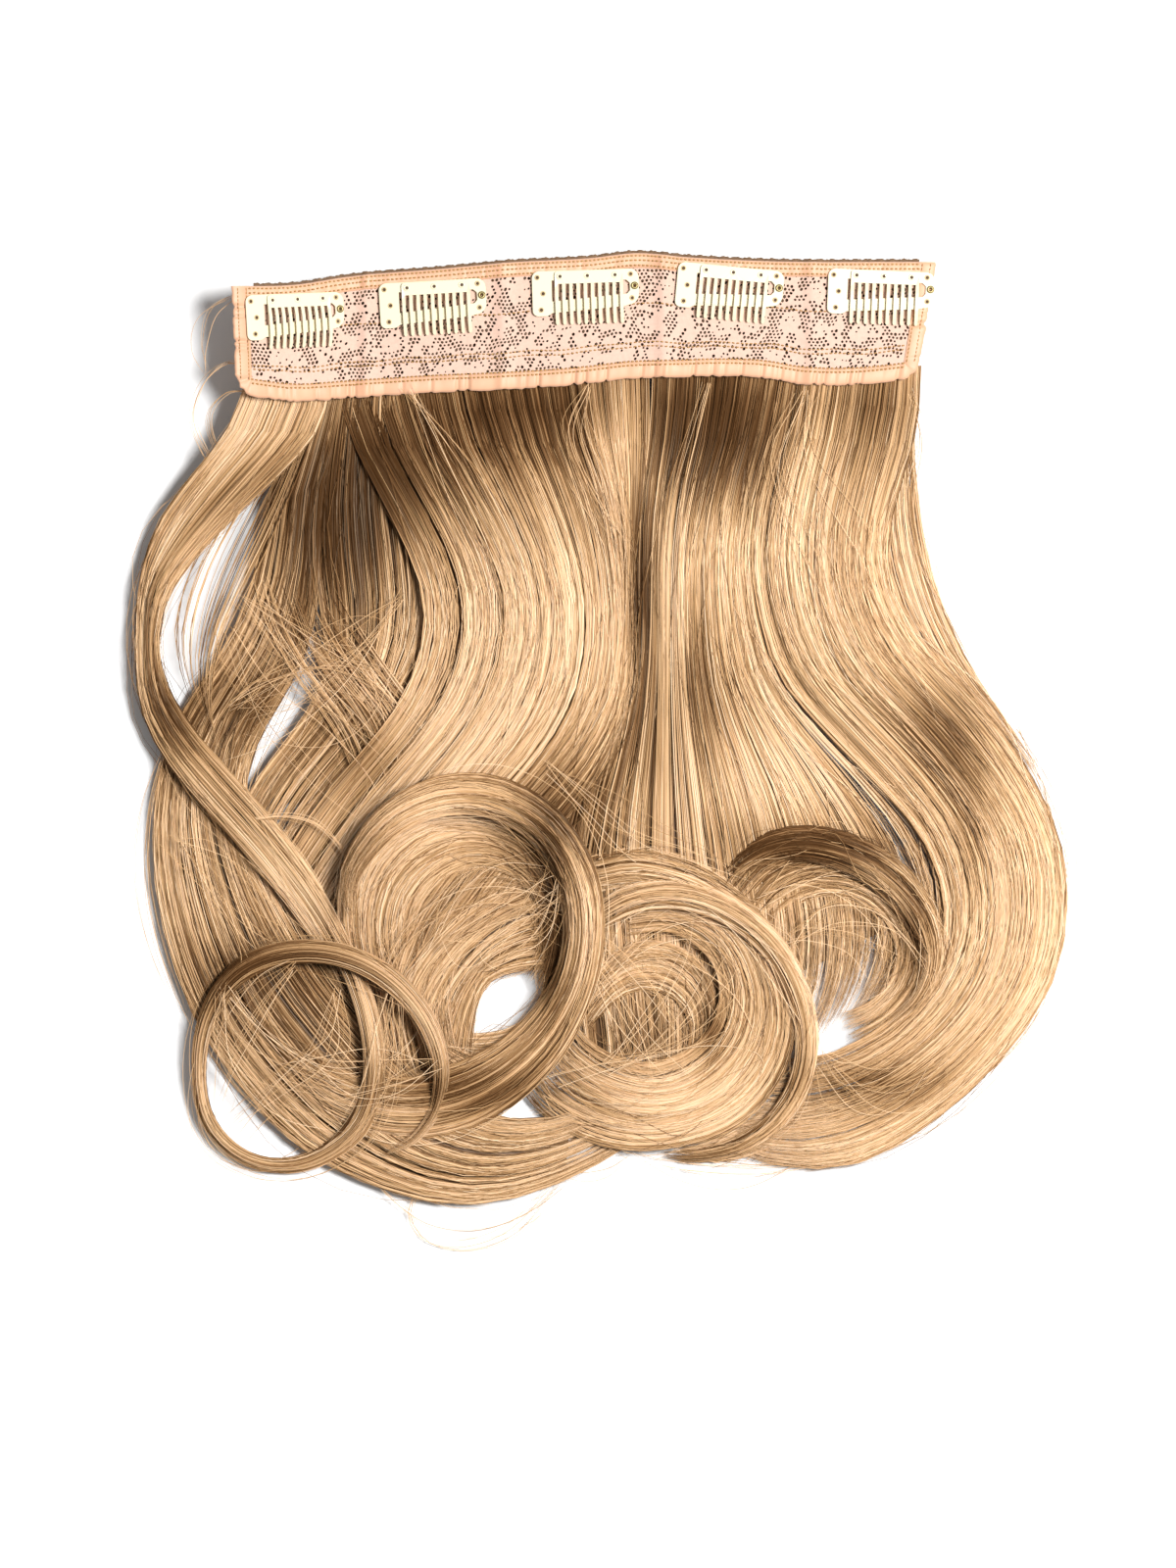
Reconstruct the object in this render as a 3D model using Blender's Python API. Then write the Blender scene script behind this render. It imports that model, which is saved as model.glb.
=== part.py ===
"""Clip-in hair extension: a fall of curled hair sewn to a lace strip with five snap clips, lying flat."""
import math

import bmesh
import bpy
import numpy as np
from mathutils import Vector
from mathutils.geometry import delaunay_2d_cdt

for old in list(bpy.data.objects):
    bpy.data.objects.remove(old, do_unlink=True)

MM = 0.001

# Whole piece as it lies: X along the strip, Y up the picture, Z up from the table.
HAIR_SPAN = 326.9 * MM
HAIR_DROP = 288.1 * MM
HAIR_DEPTH = 33.0 * MM
STRIP_LINE_Y = 121.8 * MM
CENTRE_SHIFT_X = 0.17 * MM
CENTRE_SHIFT_Y = -0.80 * MM

# Lace strip.
STRIP_LENGTH = 246.0 * MM
STRIP_HEIGHT = 44.6 * MM
LACE_THICKNESS = 1.2 * MM
BINDING_THICKNESS = 1.6 * MM
BINDING_WIDTH = 5.8 * MM
BAND_WIDTH = 5.2 * MM
BAND_THICKNESS = 1.6 * MM
TRACK_WIDTH = 5.5 * MM
TRACK_THICKNESS = 1.3 * MM
TRACK_PEEK = 1.3 * MM
PIECE_GAP = 0.3 * MM
LAY_HEIGHT = 10.6 * MM
RAISED_END_SLOPE = 0.5
RAISED_END_START = 0.172
BEND_SOFTNESS = 1.5 * MM
FOLD_HEIGHT = 1.3 * MM
FOLD_WIDTH = 2.6 * MM
RUFFLE_HEIGHT = 0.55 * MM
CORNER_RADIUS = 4.5 * MM

# Strip outline. Columns: along (share of the strip's length), upper edge and lower edge (shares of
# the strip's height, above and below the strip's lower line).
STRIP_EDGES = (
    (0.000, 0.725, -0.115),
    (0.085, 0.750, -0.160),
    (0.165, 0.830, -0.125),
    (0.290, 0.890, -0.080),
    (0.400, 0.945, -0.055),
    (0.505, 0.975, -0.015),
    (0.575, 1.015, 0.028),
    (0.640, 0.985, 0.038),
    (0.700, 0.965, 0.048),
    (0.770, 0.950, 0.036),
    (0.830, 0.945, -0.015),
    (0.900, 0.946, -0.022),
    (1.000, 0.946, 0.030),
)
# Gather folds that cross the lace between the clips: share along the strip, share of the fold height.
FOLDS = ((0.188, 1.0), (0.383, 0.8), (0.612, 1.0), (0.823, 0.8))
# Slant of the strip's ends at the upper and lower edge, in shares of the strip's length.
LEFT_END_SLANT = 0.012
RIGHT_END_SLANT = -0.028

# Snap clip.
CLIP_LENGTH = 37.4 * MM
CLIP_HEIGHT = 15.8 * MM
CLIP_SHEET = 0.6 * MM
LEFT_PLATE_WIDTH = 6.9 * MM
RIGHT_BAR_WIDTH = 3.2 * MM
COMB_INSET = 7.95 * MM
COMB_END_GAP = 5.55 * MM
COMB_LENGTH = CLIP_LENGTH - COMB_INSET - COMB_END_GAP
COMB_DROP = 18.7 * MM
COMB_TOP = 0.3 * MM
COMB_BAR = 4.4 * MM
COMB_THICKNESS = 0.6 * MM
COMB_TEETH = 10
TOOTH_WIDTH = 1.5 * MM
HOLE_RADIUS = 0.85 * MM
COMB_HOLE_RADIUS = 0.8 * MM
EYELET_RADIUS = 1.35 * MM
EYELET_BARREL = 0.75 * MM
EYELET_BORE = 0.4 * MM
TOOTH_HEIGHT = 0.9 * MM
# Rise of the teeth over the lower bar. Columns: share of the comb's drop, share of the tooth height.
TOOTH_RISE = ((0.0, 0.0), (0.235, 0.0), (0.42, 1.0), (0.74, 1.0), (0.9, 0.11111), (1.0, -0.88889))
# Clips. Columns: centre along the strip, top edge above the strip's lower line (share of its height), turn.
CLIPS = (
    (0.0837, 0.681, 4.0),
    (0.281, 0.796, 3.3),
    (0.499, 0.881, 1.8),
    (0.708, 0.908, -5.4),
    (0.9217, 0.877, -2.4),
)

# Locks of hair. Each lock has its name, number of ridges along it, spacing of its sections (share of the
# span) and a row per section: across and down (shares of the hair's span and drop), width (share of the
# span), crown and foot height (shares of the depth).
LOCKS = (
    ("outer_left", 2, 0.046, (
        (-0.330, -0.012, 0.088, 0.67, 0.39),
        (-0.345, 0.036, 0.090, 0.58, 0.33),
        (-0.376, 0.093, 0.092, 0.45, 0.18),
        (-0.421, 0.157, 0.084, 0.36, 0.06),
        (-0.464, 0.220, 0.063, 0.33, 0.00),
        (-0.481, 0.286, 0.044, 0.30, 0.00),
        (-0.479, 0.357, 0.046, 0.30, 0.00),
        (-0.458, 0.423, 0.059, 0.36, 0.00),
        (-0.412, 0.488, 0.061, 0.45, 0.06),
        (-0.359, 0.562, 0.050, 0.48, 0.12),
        (-0.317, 0.621, 0.042, 0.45, 0.12),
        (-0.286, 0.681, 0.031, 0.36, 0.09),
    )),
    ("ring", 1, 0.033, (
        (-0.299, 0.655, 0.031, 0.39, 0.12),
        (-0.269, 0.714, 0.027, 0.39, 0.12),
        (-0.250, 0.780, 0.027, 0.42, 0.15),
        (-0.247, 0.845, 0.026, 0.42, 0.15),
        (-0.265, 0.905, 0.025, 0.39, 0.12),
        (-0.304, 0.942, 0.020, 0.30, 0.06),
        (-0.347, 0.952, 0.017, 0.24, 0.00),
        (-0.390, 0.938, 0.017, 0.27, 0.00),
        (-0.421, 0.900, 0.017, 0.30, 0.00),
        (-0.432, 0.845, 0.017, 0.39, 0.09),
        (-0.424, 0.780, 0.021, 0.48, 0.21),
        (-0.397, 0.726, 0.027, 0.58, 0.30),
        (-0.351, 0.698, 0.029, 0.64, 0.39),
        (-0.293, 0.694, 0.029, 0.70, 0.45),
        (-0.240, 0.717, 0.028, 0.73, 0.48),
        (-0.196, 0.764, 0.024, 0.73, 0.52),
        (-0.174, 0.824, 0.021, 0.70, 0.52),
        (-0.179, 0.881, 0.016, 0.61, 0.42),
        (-0.202, 0.919, 0.012, 0.52, 0.36),
        (-0.232, 0.936, 0.006, 0.45, 0.33),
    )),
    ("under_left", 2, 0.058, (
        (-0.370, 0.262, 0.073, 0.27, 0.00),
        (-0.401, 0.357, 0.088, 0.27, 0.00),
        (-0.431, 0.446, 0.101, 0.27, 0.00),
        (-0.423, 0.548, 0.128, 0.27, 0.00),
        (-0.393, 0.649, 0.164, 0.27, 0.00),
        (-0.346, 0.740, 0.168, 0.27, 0.00),
        (-0.283, 0.833, 0.157, 0.27, 0.00),
        (-0.209, 0.905, 0.130, 0.30, 0.00),
        (-0.125, 0.944, 0.103, 0.30, 0.00),
        (-0.052, 0.937, 0.080, 0.24, 0.00),
        (0.008, 0.907, 0.052, 0.18, 0.00),
    )),
    ("left_middle", 2, 0.058, (
        (-0.229, -0.021, 0.088, 0.24, 0.00),
        (-0.233, 0.048, 0.088, 0.30, 0.00),
        (-0.240, 0.131, 0.092, 0.33, 0.00),
        (-0.235, 0.202, 0.097, 0.33, 0.00),
        (-0.226, 0.276, 0.099, 0.33, 0.00),
        (-0.236, 0.357, 0.097, 0.33, 0.00),
        (-0.271, 0.429, 0.094, 0.30, 0.00),
        (-0.313, 0.502, 0.088, 0.27, 0.00),
        (-0.346, 0.583, 0.073, 0.24, 0.00),
    )),
    ("left_inner", 2, 0.058, (
        (-0.267, -0.021, 0.094, 0.27, 0.00),
        (-0.278, 0.050, 0.101, 0.30, 0.00),
        (-0.299, 0.131, 0.124, 0.27, 0.00),
        (-0.311, 0.202, 0.120, 0.27, 0.00),
        (-0.328, 0.276, 0.118, 0.27, 0.00),
        (-0.359, 0.357, 0.109, 0.27, 0.00),
        (-0.393, 0.429, 0.094, 0.24, 0.00),
    )),
    ("crossing", 1, 0.04, (
        (-0.366, 0.232, 0.042, 0.30, 0.09),
        (-0.336, 0.298, 0.044, 0.39, 0.15),
        (-0.294, 0.357, 0.044, 0.42, 0.18),
        (-0.259, 0.411, 0.042, 0.42, 0.18),
        (-0.244, 0.464, 0.040, 0.39, 0.15),
        (-0.259, 0.521, 0.036, 0.36, 0.09),
    )),
    ("centre_a", 2, 0.058, (
        (-0.240, -0.021, 0.090, 0.24, 0.00),
        (-0.231, 0.048, 0.088, 0.36, 0.00),
        (-0.206, 0.119, 0.084, 0.42, 0.00),
        (-0.171, 0.190, 0.080, 0.45, 0.00),
        (-0.146, 0.262, 0.078, 0.45, 0.00),
        (-0.144, 0.324, 0.078, 0.42, 0.00),
        (-0.164, 0.390, 0.082, 0.42, 0.00),
        (-0.208, 0.455, 0.088, 0.42, 0.00),
        (-0.265, 0.521, 0.090, 0.36, 0.00),
        (-0.320, 0.589, 0.084, 0.30, 0.00),
        (-0.361, 0.661, 0.063, 0.24, 0.00),
    )),
    ("centre_b", 2, 0.058, (
        (-0.156, -0.024, 0.090, 0.24, 0.00),
        (-0.145, 0.048, 0.086, 0.42, 0.00),
        (-0.120, 0.119, 0.080, 0.48, 0.00),
        (-0.094, 0.190, 0.073, 0.52, 0.00),
        (-0.077, 0.262, 0.071, 0.52, 0.00),
        (-0.077, 0.327, 0.071, 0.48, 0.00),
        (-0.097, 0.399, 0.080, 0.45, 0.00),
        (-0.139, 0.470, 0.088, 0.42, 0.00),
        (-0.196, 0.542, 0.099, 0.39, 0.00),
        (-0.248, 0.613, 0.099, 0.33, 0.00),
        (-0.283, 0.690, 0.084, 0.27, 0.00),
    )),
    ("centre_c", 2, 0.058, (
        (-0.069, -0.026, 0.092, 0.24, 0.00),
        (-0.060, 0.048, 0.084, 0.45, 0.00),
        (-0.044, 0.119, 0.073, 0.55, 0.00),
        (-0.028, 0.190, 0.065, 0.58, 0.00),
        (-0.017, 0.262, 0.063, 0.58, 0.00),
        (-0.017, 0.327, 0.063, 0.55, 0.00),
        (-0.036, 0.399, 0.073, 0.48, 0.00),
        (-0.076, 0.470, 0.086, 0.45, 0.00),
        (-0.129, 0.548, 0.099, 0.39, 0.00),
        (-0.178, 0.625, 0.099, 0.33, 0.00),
        (-0.199, 0.708, 0.088, 0.27, 0.00),
        (-0.183, 0.786, 0.073, 0.24, 0.00),
    )),
    ("centre_d", 1, 0.058, (
        (0.014, -0.029, 0.086, 0.24, 0.00),
        (0.020, 0.048, 0.078, 0.42, 0.00),
        (0.027, 0.119, 0.059, 0.48, 0.00),
        (0.027, 0.190, 0.044, 0.48, 0.00),
        (0.020, 0.262, 0.040, 0.45, 0.00),
        (0.020, 0.327, 0.040, 0.45, 0.00),
        (0.010, 0.399, 0.059, 0.45, 0.00),
        (-0.019, 0.470, 0.076, 0.42, 0.00),
        (-0.062, 0.548, 0.088, 0.36, 0.00),
        (-0.110, 0.625, 0.088, 0.30, 0.00),
        (-0.136, 0.708, 0.080, 0.24, 0.00),
    )),
    ("right_a", 2, 0.059, (
        (0.092, -0.029, 0.078, 0.24, 0.00),
        (0.087, 0.060, 0.069, 0.42, 0.00),
        (0.077, 0.131, 0.059, 0.48, 0.00),
        (0.067, 0.202, 0.055, 0.48, 0.00),
        (0.065, 0.274, 0.061, 0.45, 0.00),
        (0.067, 0.345, 0.073, 0.42, 0.00),
        (0.065, 0.417, 0.092, 0.39, 0.00),
        (0.058, 0.488, 0.109, 0.36, 0.00),
        (0.056, 0.565, 0.115, 0.33, 0.00),
        (0.060, 0.649, 0.109, 0.30, 0.00),
        (0.067, 0.726, 0.084, 0.24, 0.00),
    )),
    ("right_b", 2, 0.058, (
        (0.161, -0.029, 0.078, 0.24, 0.00),
        (0.150, 0.060, 0.069, 0.45, 0.00),
        (0.134, 0.131, 0.069, 0.55, 0.00),
        (0.124, 0.202, 0.071, 0.58, 0.00),
        (0.124, 0.274, 0.076, 0.55, 0.00),
        (0.136, 0.345, 0.082, 0.48, 0.00),
        (0.159, 0.417, 0.088, 0.42, 0.00),
        (0.186, 0.488, 0.097, 0.36, 0.00),
        (0.214, 0.565, 0.097, 0.30, 0.00),
        (0.239, 0.643, 0.094, 0.27, 0.00),
        (0.260, 0.708, 0.076, 0.21, 0.00),
    )),
    ("right_c", 2, 0.058, (
        (0.232, -0.029, 0.078, 0.24, 0.00),
        (0.220, 0.060, 0.071, 0.48, 0.00),
        (0.203, 0.131, 0.069, 0.58, 0.00),
        (0.194, 0.202, 0.073, 0.61, 0.00),
        (0.199, 0.274, 0.078, 0.58, 0.00),
        (0.226, 0.345, 0.080, 0.55, 0.00),
        (0.271, 0.411, 0.078, 0.52, 0.00),
        (0.321, 0.479, 0.080, 0.48, 0.00),
        (0.357, 0.554, 0.084, 0.45, 0.00),
        (0.375, 0.631, 0.086, 0.42, 0.00),
        (0.369, 0.708, 0.086, 0.39, 0.00),
        (0.334, 0.776, 0.084, 0.36, 0.00),
        (0.283, 0.827, 0.076, 0.33, 0.00),
        (0.224, 0.852, 0.061, 0.27, 0.00),
        (0.168, 0.851, 0.042, 0.21, 0.00),
    )),
    ("right_d", 3, 0.055, (
        (0.306, -0.029, 0.084, 0.24, 0.00),
        (0.299, 0.060, 0.082, 0.39, 0.00),
        (0.284, 0.131, 0.076, 0.45, 0.00),
        (0.269, 0.202, 0.071, 0.48, 0.00),
        (0.279, 0.274, 0.076, 0.48, 0.00),
        (0.314, 0.348, 0.080, 0.48, 0.00),
        (0.363, 0.414, 0.084, 0.48, 0.00),
        (0.410, 0.488, 0.088, 0.48, 0.00),
        (0.444, 0.565, 0.097, 0.48, 0.00),
        (0.456, 0.649, 0.094, 0.45, 0.00),
        (0.440, 0.732, 0.097, 0.42, 0.00),
        (0.394, 0.806, 0.101, 0.39, 0.00),
        (0.326, 0.865, 0.103, 0.36, 0.00),
        (0.249, 0.900, 0.105, 0.33, 0.00),
        (0.179, 0.905, 0.067, 0.27, 0.00),
        (0.121, 0.883, 0.042, 0.18, 0.00),
    )),
    ("curl_one", 2, 0.037, (
        (-0.330, 0.821, 0.063, 0.33, 0.06),
        (-0.275, 0.864, 0.076, 0.42, 0.09),
        (-0.206, 0.881, 0.082, 0.52, 0.09),
        (-0.135, 0.862, 0.078, 0.61, 0.12),
        (-0.072, 0.810, 0.065, 0.70, 0.18),
        (-0.033, 0.740, 0.052, 0.79, 0.27),
        (-0.019, 0.669, 0.048, 0.88, 0.39),
        (-0.028, 0.598, 0.048, 0.94, 0.48),
        (-0.060, 0.539, 0.048, 0.97, 0.55),
        (-0.112, 0.505, 0.048, 1.00, 0.61),
        (-0.168, 0.501, 0.046, 1.00, 0.64),
        (-0.221, 0.526, 0.040, 0.97, 0.64),
        (-0.257, 0.569, 0.031, 0.91, 0.61),
        (-0.273, 0.612, 0.021, 0.85, 0.61),
        (-0.266, 0.650, 0.008, 0.79, 0.64),
    )),
    ("curl_one_inner", 2, 0.04, (
        (-0.028, 0.738, 0.038, 0.61, 0.09),
        (-0.036, 0.667, 0.044, 0.73, 0.21),
        (-0.061, 0.598, 0.048, 0.82, 0.30),
        (-0.112, 0.562, 0.048, 0.85, 0.36),
        (-0.167, 0.569, 0.048, 0.82, 0.36),
        (-0.212, 0.610, 0.044, 0.76, 0.30),
        (-0.238, 0.664, 0.034, 0.64, 0.24),
        (-0.240, 0.714, 0.017, 0.52, 0.21),
    )),
    ("curl_one_core", 1, 0.028, (
        (-0.059, 0.696, 0.036, 0.55, 0.06),
        (-0.070, 0.637, 0.042, 0.64, 0.12),
        (-0.112, 0.610, 0.042, 0.64, 0.15),
        (-0.152, 0.640, 0.044, 0.58, 0.12),
        (-0.171, 0.696, 0.044, 0.48, 0.06),
        (-0.160, 0.762, 0.040, 0.39, 0.00),
        (-0.141, 0.815, 0.031, 0.30, 0.00),
    )),
    ("curl_two_band", 1, 0.031, (
        (-0.011, 0.655, 0.027, 0.52, 0.24),
        (0.032, 0.627, 0.034, 0.61, 0.33),
        (0.087, 0.623, 0.034, 0.67, 0.39),
        (0.139, 0.644, 0.033, 0.70, 0.42),
        (0.182, 0.686, 0.029, 0.70, 0.42),
        (0.208, 0.740, 0.027, 0.67, 0.42),
        (0.219, 0.795, 0.025, 0.61, 0.36),
        (0.211, 0.852, 0.024, 0.55, 0.30),
        (0.185, 0.899, 0.023, 0.45, 0.21),
        (0.144, 0.930, 0.020, 0.33, 0.09),
        (0.101, 0.940, 0.016, 0.24, 0.03),
        (0.065, 0.939, 0.006, 0.18, 0.03),
    )),
    ("curl_two_back", 2, 0.037, (
        (-0.019, 0.601, 0.048, 0.42, 0.06),
        (0.035, 0.589, 0.050, 0.52, 0.12),
        (0.095, 0.606, 0.048, 0.55, 0.15),
        (0.147, 0.643, 0.040, 0.48, 0.15),
        (0.186, 0.688, 0.029, 0.39, 0.12),
    )),
    ("curl_two_inner", 2, 0.04, (
        (0.096, 0.640, 0.052, 0.45, 0.09),
        (0.138, 0.690, 0.059, 0.55, 0.15),
        (0.148, 0.760, 0.061, 0.58, 0.18),
        (0.130, 0.831, 0.063, 0.55, 0.15),
        (0.083, 0.881, 0.063, 0.48, 0.09),
        (0.027, 0.893, 0.061, 0.42, 0.06),
        (-0.026, 0.863, 0.055, 0.36, 0.00),
        (-0.055, 0.812, 0.040, 0.27, 0.00),
    )),
    ("curl_two_core", 1, 0.027, (
        (0.052, 0.676, 0.046, 0.39, 0.00),
        (0.094, 0.714, 0.044, 0.45, 0.06),
        (0.109, 0.769, 0.038, 0.45, 0.09),
        (0.090, 0.819, 0.036, 0.42, 0.06),
        (0.046, 0.836, 0.034, 0.36, 0.00),
        (0.008, 0.807, 0.031, 0.33, 0.00),
        (-0.003, 0.762, 0.025, 0.27, 0.00),
    )),
    ("curl_three_arc", 1, 0.031, (
        (0.136, 0.598, 0.027, 0.39, 0.09),
        (0.172, 0.570, 0.038, 0.52, 0.18),
        (0.216, 0.561, 0.042, 0.61, 0.27),
        (0.264, 0.573, 0.044, 0.67, 0.33),
        (0.308, 0.602, 0.044, 0.67, 0.36),
        (0.342, 0.650, 0.040, 0.64, 0.33),
        (0.352, 0.705, 0.031, 0.58, 0.27),
        (0.335, 0.752, 0.025, 0.48, 0.21),
        (0.304, 0.783, 0.017, 0.39, 0.15),
    )),
    ("curl_three_inner", 1, 0.031, (
        (0.180, 0.645, 0.042, 0.36, 0.06),
        (0.224, 0.619, 0.044, 0.45, 0.12),
        (0.270, 0.626, 0.040, 0.48, 0.15),
        (0.302, 0.664, 0.034, 0.45, 0.12),
        (0.306, 0.714, 0.027, 0.36, 0.06),
    )),
)
LOCK_OVERLAP = 2.0 * MM
CLEAR_HEIGHT = 60.0 * MM


def material(name, colour, roughness, metallic=0.0):
    made = bpy.data.materials.new(name)
    made.use_nodes = True
    shader = made.node_tree.nodes["Principled BSDF"]
    shader.inputs["Base Color"].default_value = (*colour, 1.0)
    shader.inputs["Roughness"].default_value = roughness
    shader.inputs["Metallic"].default_value = metallic
    made.diffuse_color = (*colour, 1.0)
    return made


HAIR_COLOUR = material("golden_brown_hair", (0.47, 0.30, 0.15), 0.45)
LACE_COLOUR = material("flesh_pink_lace", (0.86, 0.68, 0.58), 0.85)
SATIN_COLOUR = material("peach_satin", (0.88, 0.62, 0.46), 0.55)
WEFT_COLOUR = material("brown_weft", (0.20, 0.10, 0.05), 0.8)
ENAMEL_COLOUR = material("ivory_enamel", (0.90, 0.84, 0.70), 0.3)
EYELET_COLOUR = material("dull_brass", (0.55, 0.43, 0.25), 0.4, 0.8)


def finish(name, vertices, faces, colour, smooth=False, origin=(0.0, 0.0, 0.0)):
    mesh = bpy.data.meshes.new(name)
    mesh.from_pydata([Vector(point) - Vector(origin) for point in vertices], [], faces)
    work = bmesh.new()
    work.from_mesh(mesh)
    bmesh.ops.recalc_face_normals(work, faces=work.faces)
    work.to_mesh(mesh)
    work.free()
    mesh.materials.append(colour)
    made = bpy.data.objects.new(name, mesh)
    made.location = origin
    bpy.context.scene.collection.objects.link(made)
    for polygon in mesh.polygons:
        polygon.use_smooth = smooth
    return made


def world_x(share):
    return share * HAIR_SPAN + CENTRE_SHIFT_X


def world_y(share):
    return STRIP_LINE_Y - share * HAIR_DROP + CENTRE_SHIFT_Y


# Strip surface.
STRIP_LEFT_X = -128.8 * MM
EDGE_ROWS = np.array(STRIP_EDGES)


def smooth_lookup(rows, column, at):
    """Smooth curve through a table's rows, evaluated at one value of the first column."""
    keys = rows[:, 0]
    values = rows[:, column]
    at = min(max(at, keys[0]), keys[-1])
    index = int(min(np.searchsorted(keys, at, side="right") - 1, len(keys) - 2))
    slopes = np.gradient(values, keys)
    span = keys[index + 1] - keys[index]
    share = (at - keys[index]) / span
    low = 2 * share**3 - 3 * share**2 + 1
    low_slope = share**3 - 2 * share**2 + share
    high = 1 - low
    high_slope = share**3 - share**2
    return (low * values[index] + high * values[index + 1]
            + span * (low_slope * slopes[index] + high_slope * slopes[index + 1]))


def lift_at(x):
    """Height of the lace's middle above the table: flat, then a straight rise to the left end."""
    start = STRIP_LEFT_X + RAISED_END_START * STRIP_LENGTH
    reach = (start - x) / BEND_SOFTNESS
    soft = BEND_SOFTNESS * (max(reach, 0.0) + math.log1p(math.exp(-abs(reach))))
    return LAY_HEIGHT + RAISED_END_SLOPE * soft


def fold_at(x):
    total = 0.0
    for along, share in FOLDS:
        away = (x - STRIP_LEFT_X - along * STRIP_LENGTH) / FOLD_WIDTH
        total += share * FOLD_HEIGHT * math.exp(-away * away)
    return total


def strip_point(along, down, up=0.0, folded=True):
    """A point of the strip: along 0..1 from the left end, down 0..1 from the upper to the lower edge."""
    left = STRIP_LEFT_X + (1.0 - down) * 0.0 + down * LEFT_END_SLANT * STRIP_LENGTH * 0.5
    right = STRIP_LEFT_X + STRIP_LENGTH + down * RIGHT_END_SLANT * STRIP_LENGTH
    x = left + along * (right - left)
    upper = smooth_lookup(EDGE_ROWS, 1, along) * STRIP_HEIGHT
    lower = smooth_lookup(EDGE_ROWS, 2, along) * STRIP_HEIGHT
    y = STRIP_LINE_Y + upper + down * (lower - upper)
    z = lift_at(x) + (fold_at(x) if folded else 0.0) + up
    return Vector((x + CENTRE_SHIFT_X, y + CENTRE_SHIFT_Y, z))


def strip_tall(along):
    return (smooth_lookup(EDGE_ROWS, 1, along) - smooth_lookup(EDGE_ROWS, 2, along)) * STRIP_HEIGHT


def slab(name, alongs, downs_at, bottom, top, colour, smooth=False, folded=True):
    """A closed cloth slab that follows the strip: a grid of points above and below its surface."""
    columns = []
    for along in alongs:
        downs = downs_at(along)
        columns.append([strip_point(along, down, top, folded) for down in downs])
        columns[-1] += [strip_point(along, down, bottom, folded) for down in reversed(downs)]
    vertices = [point for column in columns for point in column]
    count = len(columns[0])
    faces = []
    for row in range(len(columns) - 1):
        for corner in range(count):
            following = (corner + 1) % count
            faces.append((row * count + corner, row * count + following,
                          (row + 1) * count + following, (row + 1) * count + corner))
    half = count // 2
    for row in (0, len(columns) - 1):
        for step in range(half - 1):
            faces.append((row * count + step, row * count + step + 1,
                          row * count + count - 2 - step, row * count + count - 1 - step))
    return finish(name, vertices, faces, colour, smooth)


def spread(first, last, steps):
    return [first + (last - first) * step / steps for step in range(steps + 1)]


SIDE_SHARE = BINDING_WIDTH / STRIP_LENGTH
SIDE_GAP = PIECE_GAP / STRIP_LENGTH

# Fold stations are added to the even spacing so that every gather has a crest and two flanks.
LACE_ALONG = sorted(spread(SIDE_SHARE + SIDE_GAP, 1.0 - SIDE_SHARE - SIDE_GAP, 13)
                    + [along + side * FOLD_WIDTH / STRIP_LENGTH
                       for along, share in FOLDS for side in (-1.3, 0.0, 1.3)])


def lace_downs(along):
    tall = strip_tall(along)
    return spread((BAND_WIDTH + PIECE_GAP) / tall, 1.0 - (BINDING_WIDTH + PIECE_GAP) / tall, 2)


slab("lace_panel", LACE_ALONG, lace_downs, -LACE_THICKNESS / 2, LACE_THICKNESS / 2, LACE_COLOUR)

BAND_ALONG = LACE_ALONG


def band_downs(along):
    return [0.0, BAND_WIDTH / strip_tall(along)]


slab("top_band", BAND_ALONG, band_downs, -BAND_THICKNESS / 2, BAND_THICKNESS / 2, SATIN_COLOUR)


def track_downs(along):
    tall = strip_tall(along)
    return [-TRACK_PEEK / tall, (TRACK_WIDTH - TRACK_PEEK) / tall]


TRACK_TOP = -BAND_THICKNESS / 2 - PIECE_GAP
slab("weft_track", BAND_ALONG, track_downs, TRACK_TOP - TRACK_THICKNESS, TRACK_TOP, WEFT_COLOUR)


# Gathered binding: a U from the left end's top, along the bottom, to the right end's top.
def binding_path():
    """Pairs of inner and outer points of the binding in strip shares, with rounded lower corners."""
    path = []
    left_tall = strip_tall(0.0)
    right_tall = strip_tall(1.0)
    for down in spread(0.0, 1.0 - (BINDING_WIDTH + 1.5 * MM) / left_tall, 4):
        path.append(((SIDE_SHARE, down), (0.0, down)))
    for step in (1, 2, 3):
        angle = math.radians(90.0 * step / 4)
        reach = BINDING_WIDTH + 1.0 * MM
        out_x = reach * (1.0 - math.cos(angle)) / STRIP_LENGTH
        out_y = 1.0 - reach * (1.0 - math.sin(angle)) / left_tall
        tall = strip_tall(SIDE_SHARE)
        path.append(((SIDE_SHARE + 0.1 * MM * step / STRIP_LENGTH, 1.0 - (BINDING_WIDTH + (3 - step) * 0.3 * MM) / tall),
                     (out_x, out_y)))
    for along in spread(SIDE_SHARE + 1.5 * MM / STRIP_LENGTH, 1.0 - SIDE_SHARE - 1.5 * MM / STRIP_LENGTH, 44):
        path.append(((along, 1.0 - BINDING_WIDTH / strip_tall(along)), (along, 1.0)))
    for step in (3, 2, 1):
        angle = math.radians(90.0 * step / 4)
        reach = BINDING_WIDTH + 1.0 * MM
        out_x = 1.0 - reach * (1.0 - math.cos(angle)) / STRIP_LENGTH
        out_y = 1.0 - reach * (1.0 - math.sin(angle)) / right_tall
        tall = strip_tall(1.0 - SIDE_SHARE)
        path.append(((1.0 - SIDE_SHARE - 0.1 * MM * step / STRIP_LENGTH,
                      1.0 - (BINDING_WIDTH + (3 - step) * 0.3 * MM) / tall), (out_x, out_y)))
    for down in spread(1.0 - (BINDING_WIDTH + 1.5 * MM) / right_tall, 0.0, 4):
        path.append(((1.0 - SIDE_SHARE, down), (1.0, down)))
    return path


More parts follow.
